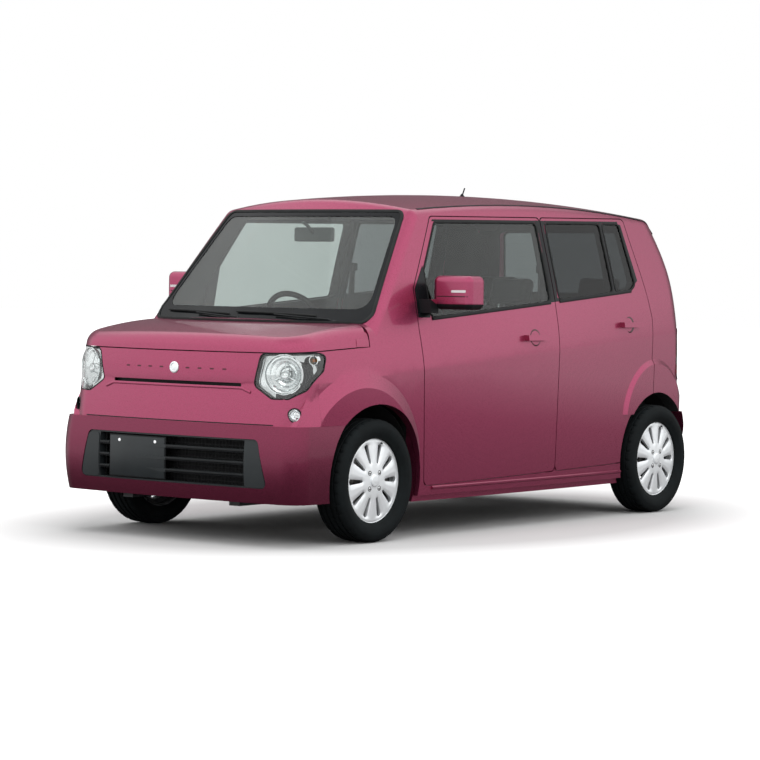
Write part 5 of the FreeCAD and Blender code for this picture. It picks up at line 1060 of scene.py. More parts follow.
def door_details():
    """The cup behind each door handle, painted near-black as painted shade in its recess, and the front
    doors' locks.
    """
    reach, shrink, flare = 0.055, 0.55, 1.05
    for hand, side in SIDES:
        plane, direction = side_plane(side), (-side, 0, 0)
        for end, y0, z0 in (("front", 0.150, 0.921), ("rear", 1.040, 0.982)):
            body = end + "_door_" + hand
            tree = surface(body)
            low, high = (cast(tree, plane(y0, z), direction)[0].x for z in (z0 - reach, z0 + reach))

            def skin(y, z, out):
                return V((low + (high - low) * (z - z0 + reach) / (2 * reach) + out * side, y, z))

            oval = circle(y0, z0, 0.044, 36, 0.040)
            bowl = [skin(y0 + (y - y0) * shrink, z0 + (z - z0) * shrink, -0.001) for y, z in oval]
            upper = [skin(y, z, 0.0018) for y, z in oval]
            flared = [V((p.x - 0.0012 * side, y0 + (p.y - y0) * flare, z0 + (p.z - z0) * flare))
                      for p in upper]
            bm = bmesh.new()
            made = swept(bm, [bowl, upper, flared, [p - V((0.003 * side, 0, 0)) for p in flared]], caps=False)
            bm.faces.new(made[0])
            # The cup's near-black paint is painted shade in the recess.
            piece(end + "_handle_cup_" + hand, bm, body, RECESS_SHADE_PAINT, 50)
            if end == "front":
                bm = bmesh.new()
                spot, normal = cast(tree, plane(y0 + 0.118, z0 - 0.002), direction)
                lathe(bm, [(-0.002, 0.0), (-0.002, 0.011), (0.002, 0.011), (0.0035, 0.009), (0.003, 0.0)],
                      spot, normal, 24)
                piece("door_lock_" + hand, bm, body, CHROME)


def door_cards():
    """Inner door trims: an arm rest and a pull on each door, and a speaker on the front ones."""
    for hand, side in SIDES:
        for end, y0, y1, z in (("front", -0.56, 0.22, 0.66), ("rear", 0.44, 0.95, 0.70)):
            bm = bmesh.new()
            top = z + 0.055
            block(bm, (0.655 * side, y0 + 0.16, z), (0.618 * side, y1, top), 0.016, 4)
            pull = [(0.648 * side, y1 - 0.15, top), (0.628 * side, y1 - 0.13, top + 0.03),
                    (0.628 * side, y1 - 0.03, top + 0.03), (0.648 * side, y1 - 0.01, top)]
            tube(bm, pull, 0.008, 8, index=1)
            if end == "front":
                lathe(bm, [(-0.004, 0.0), (-0.004, 0.082), (0.010, 0.078), (0.012, 0.066), (0.007, 0.0)],
                      (0.655 * side, y0 + 0.10, 0.42), (-side, 0, 0), 36, 1)
            piece(end + "_door_card_" + hand, bm, end + "_door_" + hand, [DOOR_TRIM, BLACK])


def mirrors():
    """Each mirror's turn lamp and the line between its shells."""
    for hand, side in SIDES:
        body, tree, plane = "front_door_" + hand, surface("mirror_" + hand), front_plane(-2.0, side)
        bm = bmesh.new()
        lens = rounded([(0.822, 1.136), (0.905, 1.136), (0.905, 1.148), (0.826, 1.147)], 0.005)
        patch(bm, tree, lens, plane, REARWARD, 0.0018, 0.005, step=0.008)
        piece("mirror_turn_lamp_" + hand, bm, body, WHITE_LENS)
        bm = bmesh.new()
        strip(bm, tree, level(plane, 0.735, 0.915, 1.118, 12), REARWARD, 0.004, 0.0005, step=0.02)
        piece("mirror_shut_line_" + hand, bm, body, BLACK)


def side_trim():
    """The sill beads and the roof's drip mouldings."""
    for hand, side in SIDES:
        bm = bmesh.new()
        sill = level(side_plane(side), -0.66, 0.99, 0.229, 24)
        strip(bm, surface("side_body_" + hand), sill, (-side, 0, 0), 0.014, 0.008, sink=0.003, step=0.05)
        piece("sill_bead_" + hand, bm, "body", PAINT)
        bm = bmesh.new()
        path = [V((0.5485 * side, y, 2.2)) for y in np.linspace(-0.60, 1.50, 30)]
        strip(bm, surface("side_body_" + hand, "roof_panel"), path, (0, 0, -1), 0.013, 0.0016, step=0.05)
        piece("roof_moulding_" + hand, bm, "body", BLACK)


# Tail

def tail():
    """What lies on the tail: seals and heater lines, the wiper, plates, lamps and reflectors."""
    tree = surface("tailgate", "tailgate_glass", "rear_bumper", "side_body_left", "side_body_right",
                   "tail_lamps")
    plane = front_plane(2.4)
    rear_pane(tree, plane)
    rear_wiper(tree, plane)
    tailgate_trim(tree, plane)
    rear_lamps(tree, plane)


def rear_pane(tree, plane):
    """The rear pane's seal and its heater lines."""
    bm = bmesh.new()
    path = [plane(u, v) for u, v in rounded(taper(0.500, 1.130, 0.455, 1.470), 0.04)]
    strip(bm, tree, path, FORWARD, 0.013, 0.003, True, 0.004)
    piece("tailgate_glass_seal", bm, "tailgate", SEAL)
    bm = bmesh.new()
    for k in range(11):
        line = level(plane, -0.42, 0.42, 1.165 + 0.024 * k, 14)
        strip(bm, tree, line, FORWARD, 0.0012, 0.0003, sink=0.0004, step=0.07)
    piece("heater_lines", bm, "tailgate", EXHAUST)


def rear_wiper(tree, plane):
    """The rear wiper, which rests along the pane's foot."""
    bm = bmesh.new()
    point, normal = cast(tree, plane(0.0, 1.115), FORWARD)
    lathe(bm, [(-0.004, 0.0), (-0.004, 0.022), (0.008, 0.020), (0.016, 0.012), (0.016, 0.0)], point,
          normal, 28)
    arm = [point + normal * 0.012] + [above(tree, plane(0.30 * t, 1.115 + 0.048 * t), FORWARD, 0.012)
                                      for t in np.linspace(0.1, 1.0, 8)]
    tube(bm, arm, 0.0045, 8)
    blade = [above(tree, plane(0.06 + 0.33 * t, 1.148 + 0.022 * t), FORWARD, 0.006)
             for t in np.linspace(0.0, 1.0, 12)]
    tube(bm, blade, 0.005, 8, index=1)
    piece("rear_wiper", bm, "tailgate", [BLACK, SEAL])


def tailgate_trim(tree, plane):
    """The handle strip, the blank plate and the high brake lamp."""
    bm = bmesh.new()
    for index, outline, corner, lift, step in (
            (0, rectangle(-0.30, 0.905, 0.30, 0.955), 0.012, 0.010, 0.03),
            (1, rectangle(-0.165, 0.700, 0.165, 0.865), 0.012, 0.004, 0.03),
            (2, taper(0.16, 1.492, 0.155, 1.512), 0.006, 0.004, 0.02)):
        patch(bm, tree, rounded(outline, corner), plane, FORWARD, lift, lift + 0.002, step=step, index=index)
    piece("tailgate_trim", bm, "tailgate", [PAINT, REAR_PLATE, TAIL_RED], 30)


def rear_lamps(tree, plane):
    """The bumper's reflectors and the seals round the tail lamps."""
    bm = bmesh.new()
    for sign in (-1, 1):
        reflector = rounded(rectangle(sign * 0.50, 0.380, sign * 0.63, 0.415), 0.01)
        patch(bm, tree, reflector, plane, FORWARD, 0.003, 0.005)
    piece("rear_reflectors", bm, "body", TAIL_RED, 30)
    bm = bmesh.new()
    angle = math.radians(12.0)
    for sign in (-1, 1):
        across = V((math.cos(angle) * sign, -math.sin(angle), 0))
        ahead = V((math.sin(angle) * sign, math.cos(angle), 0))
        corner = V((0.7375 * sign, 1.6975, 0)) - ahead * 0.36
        outline = rounded(rectangle(-0.158, 0.960, -0.024, 0.690), 0.04)
        path = [corner + across * u + V((0, 0, v)) + ahead * 0.8 for u, v in outline]
        strip(bm, tree, path, -ahead, 0.006, 0.0012, True, 0.004, 0.02)
    piece("tail_lamp_seals", bm, "body", SEAL)


# Wheels and tyres

FRONT_Y, REAR_Y, AXLE_Z, TRACK_HALF = -1.0925, 1.3325, 0.281, 0.645
WHEELS = [(end + "_" + hand, side, y)
          for end, y in (("front", FRONT_Y), ("rear", REAR_Y)) for hand, side in SIDES]
SPOKES = 10
SPOKE_RADII = [0.030, 0.045, 0.060, 0.072, 0.080, 0.085, 0.092, 0.102, 0.115, 0.130, 0.145, 0.156, 0.163,
               0.168, 0.172, 0.178, 0.187]
SLOT_START, SLOT_END = 0.080, 0.172


def wheel_place(side, y):
    """A wheel's frame: its own +X points outwards."""
    turn = Matrix.Rotation(0 if side > 0 else math.pi, 4, "Z")
    return Matrix.Translation((TRACK_HALF * side, y, AXLE_Z)) @ turn


def half_slot(r):
    """Half the width of the slot between two spokes at a radius."""
    if r <= SLOT_START or r >= SLOT_END:
        return 0.0
    t = (r - SLOT_START) / (SLOT_END - SLOT_START)
    ends = min(1.0, math.sqrt(min(1.0, t / 0.07)), math.sqrt(min(1.0, (1 - t) / 0.10)))
    return (0.0050 + 0.0088 * t) * ends


def spoke_height(r, u):
    """How far out the wheel's face stands at a radius, with u from -1 to 1 across a spoke."""
    base = 0.0615 - 0.010 * ((r - 0.03) / 0.157) ** 1.4
    spoke = max(0.0, min(1.0, (r - 0.070) / 0.02)) * max(0.0, min(1.0, (0.180 - r) / 0.012))
    crown, groove, sink = 0.0045 * (1 - u * u), 0.0012 * math.exp(-(u / 0.10) ** 2), 0.004
    return base + (crown - groove - sink) * spoke


def spoke_sheet():
    """The wheel's face: ten crowned spokes with slots between them."""
    bm = bmesh.new()
    columns, sector = 9, math.pi / SPOKES
    for middle in turns(SPOKES):
        rows = []
        for r in SPOKE_RADII:
            reach = sector - math.asin(half_slot(r) / r)
            row = []
            for u in np.linspace(-1, 1, columns):
                angle = middle + u * reach
                row.append(bm.verts.new((spoke_height(r, u), r * math.sin(angle), r * math.cos(angle))))
            rows.append(row)
        for a, b in zip(rows, rows[1:]):
            for c in range(columns - 1):
                bm.faces.new((a[c], a[c + 1], b[c + 1], b[c]))
    bmesh.ops.remove_doubles(bm, verts=bm.verts, dist=0.0002)
    hub = [e for e in bm.edges if len(e.link_faces) == 1 and all(v.co.yz.length < 0.035 for v in e.verts)]
    centre = bm.verts.new((0.0625, 0, 0))
    for edge in hub:
        bm.faces.new((*edge.verts, centre))
    bmesh.ops.recalc_face_normals(bm, faces=bm.faces)
    if sum(f.normal.x for f in bm.faces) < 0:
        bmesh.ops.reverse_faces(bm, faces=bm.faces)
    mesh = bpy.data.meshes.new("spokes")
    bm.to_mesh(mesh)
    bm.free()
    obj = bpy.data.objects.new("spokes_work", mesh)
    bpy.context.scene.collection.objects.link(obj)
    solid = obj.modifiers.new("solid", "SOLIDIFY")
    solid.thickness, solid.offset = 0.020, -1.0
    bevel = obj.modifiers.new("bevel", "BEVEL")
    bevel.width, bevel.segments = 0.0016, 2
    bevel.limit_method, bevel.angle_limit = "ANGLE", math.radians(50)
    done = bpy.data.meshes.new_from_object(obj.evaluated_get(bpy.context.evaluated_depsgraph_get()))
    bpy.data.objects.remove(obj)
    return done


def wheels():
    """Alloy wheels: the face, rim, cap, nuts and valve, with a brake disc or a drum behind."""
    face = spoke_sheet()
    lip = [(0.052, 0.1935), (0.058, 0.1925), (0.0625, 0.1965), (0.0638, 0.1985), (0.0618, 0.1988),
           (0.0565, 0.1945), (0.050, 0.1908)]
    barrel = [(0.036, 0.1900), (0.022, 0.1700), (-0.022, 0.1700), (-0.036, 0.1900), (-0.057, 0.1900),
              (-0.0635, 0.1985), (-0.0635, 0.1925), (-0.058, 0.1850), (-0.036, 0.1830), (-0.024, 0.1630),
              (0.020, 0.1630), (0.032, 0.1780), (0.040, 0.1850)]
    edge = [(0.052, 0.1935), (0.050, 0.1870), (0.044, 0.1848)]
    cap = [(0.060, 0.0285), (0.0655, 0.0280), (0.0680, 0.0240), (0.0675, 0.0180), (0.0688, 0.0100),
           (0.0692, 0.0)]
    seat = [(0.0605, 0.0), (0.0605, 0.0085), (0.0625, 0.0100), (0.0618, 0.0115), (0.0585, 0.0115)]
    nut = [(0.0600, 0.0068), (0.0640, 0.0062), (0.0655, 0.0040), (0.0655, 0.0)]
    disc = [(-0.025, 0.017), (-0.025, 0.128), (-0.005, 0.128), (-0.005, 0.070), (0.030, 0.064),
            (0.0415, 0.060), (0.0415, 0.017)]
    drum = [(-0.026, 0.017), (-0.026, 0.098), (-0.018, 0.100), (0.014, 0.100), (0.022, 0.094), (0.026, 0.064),
            (0.0415, 0.060), (0.0415, 0.017)]
    nut_circle, valve_angle = 0.050, math.radians(18)
    for name, side, y in WHEELS:
        bm = bmesh.new()
        bm.from_mesh(face)
        brake = (disc, 72, 4) if y == FRONT_Y else (drum, 72, 5)
        for profile, steps, index in ((lip + lip[:1], 120, 0), (lip[-1:] + barrel, 96, 1), (edge, 120, 0),
                                      (cap, 40, 0), brake):
            lathe(bm, profile, ORIGIN, ACROSS, steps, index)
        for angle in (math.radians(45 + 90 * k) for k in range(4)):
            centre = (0.0, nut_circle * math.sin(angle), nut_circle * math.cos(angle))
            lathe(bm, seat, centre, ACROSS, 18, 2)
            lathe(bm, nut, centre, ACROSS, 6, 3)
        valve = [(x, r * math.sin(valve_angle), r * math.cos(valve_angle))
                 for x, r in ((0.040, 0.180), (0.060, 0.176))]
        tube(bm, valve, 0.0038, 8, index=2)
        bmesh.ops.recalc_face_normals(bm, faces=bm.faces)
        bmesh.ops.transform(bm, matrix=wheel_place(side, y), verts=bm.verts)
        piece("alloy_wheel_" + name, bm, "wheel_" + name, [SILVER, BARREL, BLACK, CHROME, DISC, IRON],
              38, "wheel_" + name)


def tread_cut(x, r, i):
    """How deep the tread is cut at a point of the profile, at the tyre's i-th step."""
    wide, phase = abs(x), 0 if x > 0 else 3
    if r > 0.2780 and 0.022 < wide < 0.038 and (i + phase) % 6 == 1:
        return 0.0045
    if r > 0.2725 and wide > 0.047 and i % 6 == phase:
        return 0.0050 if wide < 0.066 else 0.0015
    return 0.0


def tyres():
    """Tyres with rounded shoulders, four grooves round the tread, cross cuts and rim ribs."""
    half = [(0.0575, 0.1912), (0.0648, 0.1955), (0.0672, 0.2010), (0.0715, 0.2065), (0.0722, 0.2085),
            (0.0755, 0.2130), (0.0790, 0.2240), (0.0806, 0.2360), (0.0803, 0.2440), (0.0788, 0.2520),
            (0.0780, 0.2535), (0.0758, 0.2610), (0.0720, 0.2680), (0.0665, 0.2740), (0.0605, 0.2775)]
    groove_floor, steps = 0.2735, 216
    for centre, outer, inner in ((0.044, 0.2790, 0.2798), (0.0155, 0.2800, 0.2808)):
        half += [(centre + 0.0052, outer), (centre + 0.0040, groove_floor), (centre - 0.0040, groove_floor),
                 (centre - 0.0052, inner)]
    profile = half + [(0.0, 0.2810)] + [(-x, r) for x, r in reversed(half)]
    bead = [(-0.0575, 0.1912), (-0.0560, 0.1908), (0.0560, 0.1908), (0.0575, 0.1912)]
    for name, side, y in WHEELS:
        bm = bmesh.new()
        rings = []
        for i, angle in enumerate(turns(steps)):
            ring = []
            for x, r in profile:
                a = angle + (0.012 if abs(x) < 0.04 else 0.0)
                r -= tread_cut(x, r, i)
                ring.append(bm.verts.new((x, r * math.sin(a), r * math.cos(a))))
            rings.append(ring)
        for a, b in zip(rings, rings[1:] + rings[:1]):
            for k in range(len(profile) - 1):
                bm.faces.new((a[k], b[k], b[k + 1], a[k + 1]))
        lathe(bm, bead, ORIGIN, ACROSS, steps)
        bmesh.ops.remove_doubles(bm, verts=bm.verts, dist=0.00005)
        bmesh.ops.transform(bm, matrix=wheel_place(side, y), verts=bm.verts)
        piece("road_tyre_" + name, bm, "wheel_" + name, TYRE, 32, "tyre_" + name)


# Springs and dampers

def coil(bm, x, y, radius, low, high, windings, wire=0.006, steps=18):
    """An upright coil spring between two heights."""
    total = int(windings * steps)
    points = []
    for i in range(total + 1):
        angle = 2 * math.pi * windings * i / total
        points.append((x + radius * math.cos(angle), y + radius * math.sin(angle),
                       low + wire + (high - low - 2 * wire) * i / total))
    tube(bm, points, wire, 8)


def springs():
    """The rear coils on their seats, and the front struts: damper, coil, rod and bracket."""
    bm = bmesh.new()
    for side in (-1, 1):
        x, y = 0.335 * side, 1.240
        coil(bm, x, y, 0.035, 0.2745, 0.3445, 2.6)
        lathe(bm, [(0.2743, 0.0), (0.2743, 0.041), (0.2765, 0.041), (0.2765, 0.0)], (x, y, 0), UP, 32)
    piece("rear_coils", bm, "body", STEEL, replaced="rear_springs")
    bm = bmesh.new()
    head, bracket_low, bracket_high, bracket_half = 0.8355, 0.4303, 0.4503, 0.0113
    for side in (-1, 1):
        x, y = 0.520 * side, FRONT_Y
        coil(bm, x, y, 0.050, 0.604, head, 5.4)
        lathe(bm, [(0.424, 0.0), (0.424, 0.0215), (0.600, 0.0215), (0.603, 0.054), (0.609, 0.055),
                   (0.611, 0.024), (0.640, 0.020), (0.642, 0.0)], (x, y, 0), UP, 32)
        lathe(bm, [(0.640, 0.0), (0.640, 0.010), (head - 0.012, 0.010), (head - 0.010, 0.053),
                   (head - 0.001, 0.053), (head, 0.0)], (x, y, 0), UP, 32, 1)
        block(bm, (x, y - bracket_half, bracket_low), (x + 0.065 * side, y + bracket_half, bracket_high),
              0.003, 2)
        lathe(bm, [(bracket_low, 0.0), (bracket_low, 0.0170), (bracket_high, 0.0170), (bracket_high, 0.0)],
              (0.585 * side, y, 0), UP, 24)
    piece("front_strut_units", bm, "body", [STEEL, CHROME], replaced="front_struts")


# Cabin

def padded_form(size, crown, edge, channels, seed, cuts):
    """A function from a box's points to a form that is rounded, crowned and drawn in, with sewn channels."""
    sx, sy, sz = (s / 2 for s in size)
    core_size = V((sx - edge, sy - edge, max(0.001, sz - edge)))
    phase = np.random.default_rng(seed).uniform(0, 6.28, 4)
    draw = 0.006

    def place(i, j, k):
        share = [2 * step / count - 1 for step, count in zip((i, j, k), cuts)]
        p = V([a * half for a, half in zip(share, (sx, sy, sz))])
        u, v, w = p.x / sx, p.y / sy, p.z / sz
        core = V([max(-most, min(most, a)) for a, most in zip(p, core_size)])
        out = p - core
        q = core + out.normalized() * min(edge, sz) if out.length > 1e-9 else p
        q.x -= draw * (1 - v * v) * math.copysign(abs(u) ** 6, u)
        q.y -= draw * (1 - u * u) * math.copysign(abs(v) ** 6, v)
        if w > 0:
            q.z += crown * (1 - u * u) * (1 - v * v) * w
            for axis, position, depth in channels:
                off = (u - position) * sx if axis == "x" else (v - position) * sy
                fade = 1.0 if axis == "x" else max(0.0, 1 - (abs(u) / 0.70) ** 12)
                q.z -= depth * math.exp(-(off / 0.0065) ** 2) * w * fade
            q.z += 0.0012 * math.sin(9 * u + phase[0]) * math.sin(7 * v + phase[1]) * w
        return q

    return place


def cushion(name, size, matrix, replaced, crown, edge, channels=(), seed=0, cuts=(18, 18, 6)):
    """A padded piece of a seat; the middle of its top has the lighter cloth."""
    bm = bmesh.new()
    place = padded_form(size, crown, edge, channels, seed, cuts)
    grid = {}

    def vertex(corner):
        if corner not in grid:
            grid[corner] = bm.verts.new(place(*corner))
        return grid[corner]

    for fixed in (2, 1, 0):
        first, second = (axis for axis in range(3) if axis != fixed)
        for a in range(cuts[first]):
            for b in range(cuts[second]):
                for end in (0, cuts[fixed]):
                    corners = []
                    for da, db in ((0, 0), (1, 0), (1, 1), (0, 1)):
                        corner = [end] * 3
                        corner[first], corner[second] = a + da, b + db
                        corners.append(vertex(tuple(corner)))
                    bm.faces.new(corners)
    bmesh.ops.recalc_face_normals(bm, faces=bm.faces)
    for face in bm.faces:
        middle = face.calc_center_median()
        face.material_index = 0 if abs(middle.x) < size[0] / 2 * 0.70 and middle.z > 0 else 1
    bmesh.ops.transform(bm, matrix=matrix, verts=bm.verts)
    obj = piece(name, bm, "body", [SEAT, SEAT_SIDE], 0, replaced)
    fine = obj.modifiers.new("fine", "SUBSURF")
    fine.levels = fine.render_levels = 1


def seat_set(prefix, replaced, x0, x1, y0, top, rests, base_z, splits):
    """One seat or bench: cushions, backs, head rests, posts and a frame below."""
    part = (x1 - x0) / splits
    gap, lean, back_offset, post_half = 0.004, math.radians(16.0), 0.055, 0.0625
    hinge = V(((x0 + x1) / 2, y0 + 0.445, top - 0.070))
    back_turn = Matrix.Translation(hinge) @ Matrix.Rotation(-lean, 4, "X") @ Matrix.Translation(-hinge)
    seams = (("x", -0.68, 0.007), ("x", 0.68, 0.007))

    def named(kind, k, count):
        return prefix + kind + ("_" + "ab"[k] if count > 1 else "")

    def on_back(x, height):
        return back_turn @ Matrix.Translation((x, hinge.y + back_offset, hinge.z + height))

    bm = bmesh.new()
    for k in range(splits):
        x = x0 + part * (k + 0.5)
        cushion(named("_cushion", k, splits), (part - gap, 0.492, 0.134),
                Matrix.Translation((x, y0 + 0.250, hinge.z)), replaced, 0.006, 0.034,
                (("y", -0.30, 0.006), ("y", 0.25, 0.006), *seams), k)
        cushion(named("_back", k, splits), (part - gap, 0.592, 0.104), on_back(x, 0.300) @ LEVEL_TO_UPRIGHT,
                replaced, 0.004, 0.034, (("y", 0.18, 0.006), ("y", 0.56, 0.006), *seams), k + 5)
    for k, x in enumerate(rests):
        cushion(named("_headrest", k, len(rests)), (0.246, 0.146, 0.078),
                on_back(x, 0.693) @ LEVEL_TO_UPRIGHT, replaced, 0.0, 0.036, seed=k + 9, cuts=(12, 8, 4))
        for dx in (-post_half, post_half):
            tube(bm, [on_back(x + dx, height).translation for height in (0.575, 0.640)], 0.0055, 10, index=1)
    inset = (x1 - x0 - 0.36) / 2 if base_z < 0.3 else 0.064
    block(bm, (x0 + inset, y0 + 0.060, base_z), (x1 - inset, y0 + 0.440, top - 0.125), 0.01, 3)
    for x in (x0 + inset + 0.02, x1 - inset - 0.02):
        block(bm, (x - 0.018, y0 + 0.061, base_z + 0.0005), (x + 0.018, y0 + 0.439, base_z + 0.02),
              0.002, 2, 1)
    piece(prefix + "_frame", bm, "body", [BLACK, CHROME], replaced=replaced)


def seats():
    """Two front seats and a rear bench in two parts."""
    for hand, side in SIDES:
        x = 0.325 * side
        seat_set("front_seat_" + hand, "front_seats", x - 0.24, x + 0.24, -0.170, 0.560, [x], 0.2145, 1)
    seat_set("rear_seat", "rear_seat", -0.488, 0.488, 0.640, 0.570, [-0.325, 0.325], 0.3595, 2)


def steering():
    """The steering wheel with its pad and spokes, and the stalks on its column."""
    rake = math.radians(26.0)
    axis, up = V((0, math.cos(rake), math.sin(rake))), V((0, -math.sin(rake), math.cos(rake)))
    hub = V((-0.345, -0.375, 0.955))

    def at(u, v, w):
        return hub + V((u, 0, 0)) + up * v + axis * w

    bm = bmesh.new()
    tube(bm, [at(u, v, 0) for u, v in circle(0, 0, 0.176, 72)], 0.0145, 12, closed=True)
    swept(bm, [[at(u, v, w) for u, v in circle(0, -0.004, 0.072 * k, 32, 0.050 * k, 0.7)]
               for w, k in ((-0.014, 0.9), (0.004, 1.0), (0.012, 0.92), (0.0145, 0.6))])
    for u in (1, -1):
        tube(bm, [at(0.05 * u, 0.0, 0.0), at(0.11 * u, 0.004, -0.002), at(0.168 * u, 0.012, 0.0)],
             [0.020, 0.015, 0.012], 10, index=1, up=axis)
    tube(bm, [at(0.0, -0.03, 0.0), at(0.0, -0.10, -0.002), at(0.0, -0.168, 0.0)], [0.018, 0.013, 0.012], 10,
         index=1)
    piece("steering_wheel_rim", bm, "steering_wheel", [BLACK, DASH], 40, "steering_wheel")
    bm = bmesh.new()
    for u in (-1, 1):
        tube(bm, [at(0.028 * u, 0.01, -0.075), at(0.10 * u, 0.02, -0.070), at(0.165 * u, 0.035, -0.062)],
             [0.0065, 0.0065, 0.009], 8)
    tube(bm, [at(0, 0, -0.10), at(0, 0, -0.045)], 0.038, 16)
    piece("column_stalks", bm, "body", BLACK)


def instrument_pod():
    """The hood over three dials with their needles."""
    bm = bmesh.new()
    dial_z, face_y = 0.966, -0.575
    swept(bm, [[V((x, y, z)) for x, z in circle(-0.345, 0.965, 0.165 * k, 40, 0.052 * k, 0.6)]
               for y, k in ((-0.80, 0.92), (-0.72, 1.0), (-0.62, 1.0), (face_y, 0.94))])
    for x, r in ((-0.345, 0.046), (-0.435, 0.032), (-0.255, 0.032)):
        lathe(bm, [(face_y, 0.0), (face_y, r), (-0.571, r), (-0.571, r - 0.004), (-0.5735, r - 0.006),
                   (-0.5735, 0.0)], (x, 0, dial_z), REARWARD, 36, 1)
        tube(bm, [(x, -0.572, dial_z), (x - r * 0.5, -0.572, dial_z + r * 0.55)], 0.0012, 6, index=3)
    piece("instrument_pod", bm, "body", [DASH, GLOSS_BLACK, CHROME, CHROME], 35)


def centre_stack():
    """The dashboard's middle with a screen and three knobs, round vents, the glove box lid and the lever."""
    bm = bmesh.new()
    vent_z = 0.905
    block(bm, (-0.125, -0.612, 0.700), (0.125, -0.585, 0.945), 0.012, 4)
    block(bm, (-0.095, -0.590, 0.850), (0.095, -0.5815, 0.925), 0.006, 3, 1)
    for x in (-0.066, 0.0, 0.066):
        lathe(bm, [(0.0, 0.0), (0.0, 0.021), (0.010, 0.021), (0.020, 0.017), (0.021, 0.0)],
              (x, -0.588, 0.790), REARWARD, 28, 2)
    for x in (-0.56, 0.56, 0.22):
        lathe(bm, [(0.0, 0.0), (0.0, 0.040), (0.009, 0.040), (0.010, 0.034), (0.002, 0.030), (0.002, 0.0)],
              (x, -0.588, vent_z), (0, 1, 0.25), 32, 1)
        for z in (vent_z + 0.010 * k for k in range(-2, 3)):
            tube(bm, [(x - 0.026, -0.583, z), (x + 0.026, -0.583, z)], 0.0018, 6, index=2)
    block(bm, (0.20, -0.606, 0.735), (0.60, -0.592, 0.850), 0.008, 3)
    tube(bm, [(0.02, -0.585, 0.742), (0.03, -0.52, 0.760), (0.035, -0.505, 0.775)], [0.009, 0.008, 0.014], 10,
         index=2)
    piece("centre_stack", bm, "body", [DASH, GLOSS_BLACK, BLACK], 35)


def cabin_mirror():
    """The inner mirror on its stalk, hung from the windscreen."""
    bm = bmesh.new()
    root = above(surface("windscreen"), (0.0, -2.0, 1.462), REARWARD, -0.012)
    head = root + V((0, 0.085, -0.055))
    tube(bm, [root, root + V((0, 0.03, -0.012)), head], 0.008, 10)
    block(bm, head + V((-0.118, -0.012, -0.034)), head + V((0.118, 0.014, 0.034)), 0.011, 4)
    block(bm, head + V((-0.110, 0.0130, -0.028)), head + V((0.110, 0.0160, 0.028)), 0.001, 1, 1)
    piece("cabin_mirror", bm, "body", [DASH, MIRROR_GLASS])


def front_belts():
    """The front belts' webbing down the pillars, below their upper guides."""
    half_width, thickness = 0.023, 0.0016
    bm = bmesh.new()
    for side in (-1, 1):
        x = 0.592 * side
        path = [(x, 0.385, 1.250), (0.600 * side, 0.375, 0.95), (0.622 * side, 0.365, 0.62),
                (0.628 * side, 0.36, 0.32)]
        section = [(0, -half_width), (0, half_width), (-thickness * side, half_width),
                   (-thickness * side, -half_width)]
        swept(bm, [[p + V((dx, dy, 0)) for dx, dy in section] for p in dense(path, 0.06)])
        block(bm, (x, 0.365, 1.235), (x - 0.02 * side, 0.405, 1.275), 0.006, 3, 1)
    piece("front_belts", bm, "body", [BELT, BLACK])


def sun_visors():
    """Two visors folded up against the roof."""
    bm = bmesh.new()
    for side in (-1, 1):
        block(bm, (0.10 * side, -0.60, 1.478), (0.50 * side, -0.44, 1.492), 0.006)
    piece("sun_visors", bm, "body", HEADLINER)


def pedals():
    """Three pedals on their arms."""
    bm = bmesh.new()
    for x, half in ((-0.26, 0.03), (-0.36, 0.036), (-0.45, 0.03)):
        tube(bm, [(x, -0.70, 0.62), (x, -0.66, 0.42), (x, -0.64, 0.33)], 0.006, 8)
        block(bm, (x - half, -0.655, 0.295), (x + half, -0.635, 0.345), 0.004, 2)
    piece("pedals", bm, "body", STEEL)


def engine_bay_boxes():
    """Two covers on the engine, and the battery on its tray."""
    bm = bmesh.new()
    y = -1.30
    for x in (-0.12, 0.12):
        block(bm, (x - 0.10, y - 0.16, 0.7155), (x + 0.10, y + 0.16, 0.775), 0.02, 4)
    block(bm, (0.30, -1.42, 0.60), (0.44, -1.22, 0.80), 0.008, 3, 1)
    block(bm, (0.28, -1.44, 0.585), (0.46, -1.20, 0.600), 0.003, 2, 2)
    tube(bm, [(0.28, -1.32, 0.592), (0.255, -1.32, 0.56)], 0.01, 8, index=2)
    piece("engine_bay_boxes", bm, "body", [BLACK, DASH, STEEL])


# Studio

REAR_RIGHT, FRONT_RIGHT = (-0.6, 0.8, 0.0), (-0.6, -0.8, 0.0)


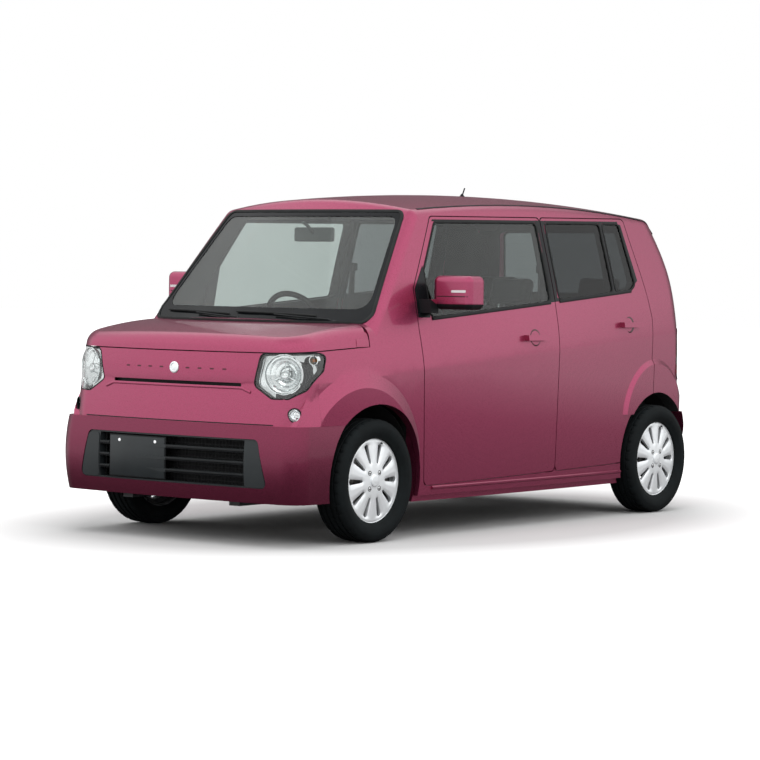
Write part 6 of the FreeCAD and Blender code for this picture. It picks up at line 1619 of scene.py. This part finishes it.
def studio_floor():
    """A floor that glows white to the camera only outside an oval round the car, so that inside it the floor
    is greyer, a painted shadow; to the car it is dark, but for a bright ring far from it.
    """
    half = 60.0
    mesh = bpy.data.meshes.new("floor")
    mesh.from_pydata([(x, y, 0) for x, y in rectangle(-half, -half, half, half)], [], [(0, 1, 2, 3)])
    obj = bpy.data.objects.new("floor", mesh)
    bpy.context.scene.collection.objects.link(obj)
    m = new_material("floor_glow_painted_shadow")
    m.set(Base_Color=m.ramp(m.noise(3.0), (0.52, 0.52, 0.52), (0.54, 0.54, 0.54)), Roughness=0.9,
          Specular_IOR_Level=0.0)
    away = m.vector("LENGTH", m.place())

    def towards(direction, *stops):
        return m.stops(m.math("DIVIDE", m.vector("DOT_PRODUCT", m.place(), direction), away), *stops)

    def ring(start, end):
        return m.ramp(m.math("MULTIPLY", away, 1 / 20.0), 0.0, 1.0, start, end)

    far = m.math("MULTIPLY", ring(0.33, 0.62), towards(REAR_RIGHT, (0.35, 1.0), (0.75, 0.12)))
    near = m.math("MULTIPLY", ring(0.13, 0.32), towards(FRONT_RIGHT, (0.5, 0.0), (0.9, 1.0)))
    mirrored = m.math("MULTIPLY", m.math("MAXIMUM", far, near), m.rays("Glossy"))
    # The camera's glow fades out inside an oval round the car, which paints a grey shadow there.
    oval = m.vector("LENGTH", m.vector("MULTIPLY", m.place(), (1.0, 0.62, 1.0)))
    glow = m.ramp(m.math("MULTIPLY", oval, 1 / 12.0), 0.0, 1.0, 0.098, 0.175)
    diffuse = m.add("ShaderNodeBsdfDiffuse", {"Color": (0.10, 0.095, 0.095)}).outputs[0]

    def lit(shader, colour, strength):
        light = m.add("ShaderNodeEmission", {"Color": colour, "Strength": strength}).outputs[0]
        return m.add("ShaderNodeAddShader", {0: shader, 1: light}).outputs[0]

    m.show(m.rays("Camera", "Transmission"), lit(diffuse, mirrored, 1.15),
           lit(m.shader.outputs[0], glow, 0.75))
    mesh.materials.append(m.owner)


def surroundings():
    """A world that is white to the camera and a soft gradient to the car, darker at the rear right."""
    world = bpy.data.worlds.new("studio")
    bpy.context.scene.world = world
    w = Nodes(world)
    parts = w.add("ShaderNodeSeparateXYZ", {0: w.place("Generated")}).outputs
    height = w.stops(parts["Z"], (0.0, 0.76), (0.06, 0.90), (0.16, 0.96), (0.85, 0.96), (1.0, 0.75))
    behind = w.vector("DOT_PRODUCT", w.place("Generated"), REAR_RIGHT)
    shade = w.stops(behind, (0.0, 1.0), (0.35, 0.95), (0.75, 0.16), (1.0, 0.10))
    open_sky = w.stops(parts["Z"], (0.0, 0.0), (0.42, 0.0), (0.66, 1.0), (1.0, 1.0))
    w.set(Color=w.vector("MULTIPLY", height, w.vector("MAXIMUM", shade, open_sky)), Strength=1.5)
    white = w.add("ShaderNodeBackground", {"Color": (1.0, 1.0, 1.0)}).outputs[0]
    w.show(w.rays("Camera", "Transmission"), w.shader.outputs[0], white)


def area_light(name, place, target, size, size_y, power):
    """A rectangular light that doesn't show in reflections."""
    data = bpy.data.lights.new(name, "AREA")
    data.shape = "RECTANGLE"
    data.size, data.size_y, data.energy = size, size_y, power
    lamp = bpy.data.objects.new(name, data)
    lamp.location = place
    lamp.rotation_euler = (V(target) - V(place)).to_track_quat("-Z", "Y").to_euler()
    bpy.context.scene.collection.objects.link(lamp)
    lamp.visible_glossy = False


def studio():
    """The plain white studio with its four lights."""
    studio_floor()
    surroundings()
    area_light("top_light", (0.5, -0.5, 5.5), (0, 0, 0.5), 6.0, 7.0, 125.0)
    area_light("front_light", (2.5, -7.0, 4.0), (0, -1.2, 0.6), 3.5, 2.5, 60.0)
    area_light("side_light", (6.5, -1.0, 4.2), (0.3, 0.2, 0.9), 5.0, 1.6, 60.0)
    area_light("rear_light", (-3.0, 6.5, 4.5), (0, 1.2, 0.8), 4.0, 2.5, 50.0)
    bpy.context.scene.view_settings.view_transform = "Standard"


for make in (add_camera, dress_nodes, side_windows, screen_edge, bonnet_corners, add_wipers, headlamps,
             round_lamps, nose, front_plate, grille_detail, grille_back, door_details, door_cards, mirrors,
             side_trim, tail, wheels, tyres, springs, seats, steering, instrument_pod, centre_stack,
             cabin_mirror, front_belts, sun_visors, pedals, engine_bay_boxes, studio):
    make()
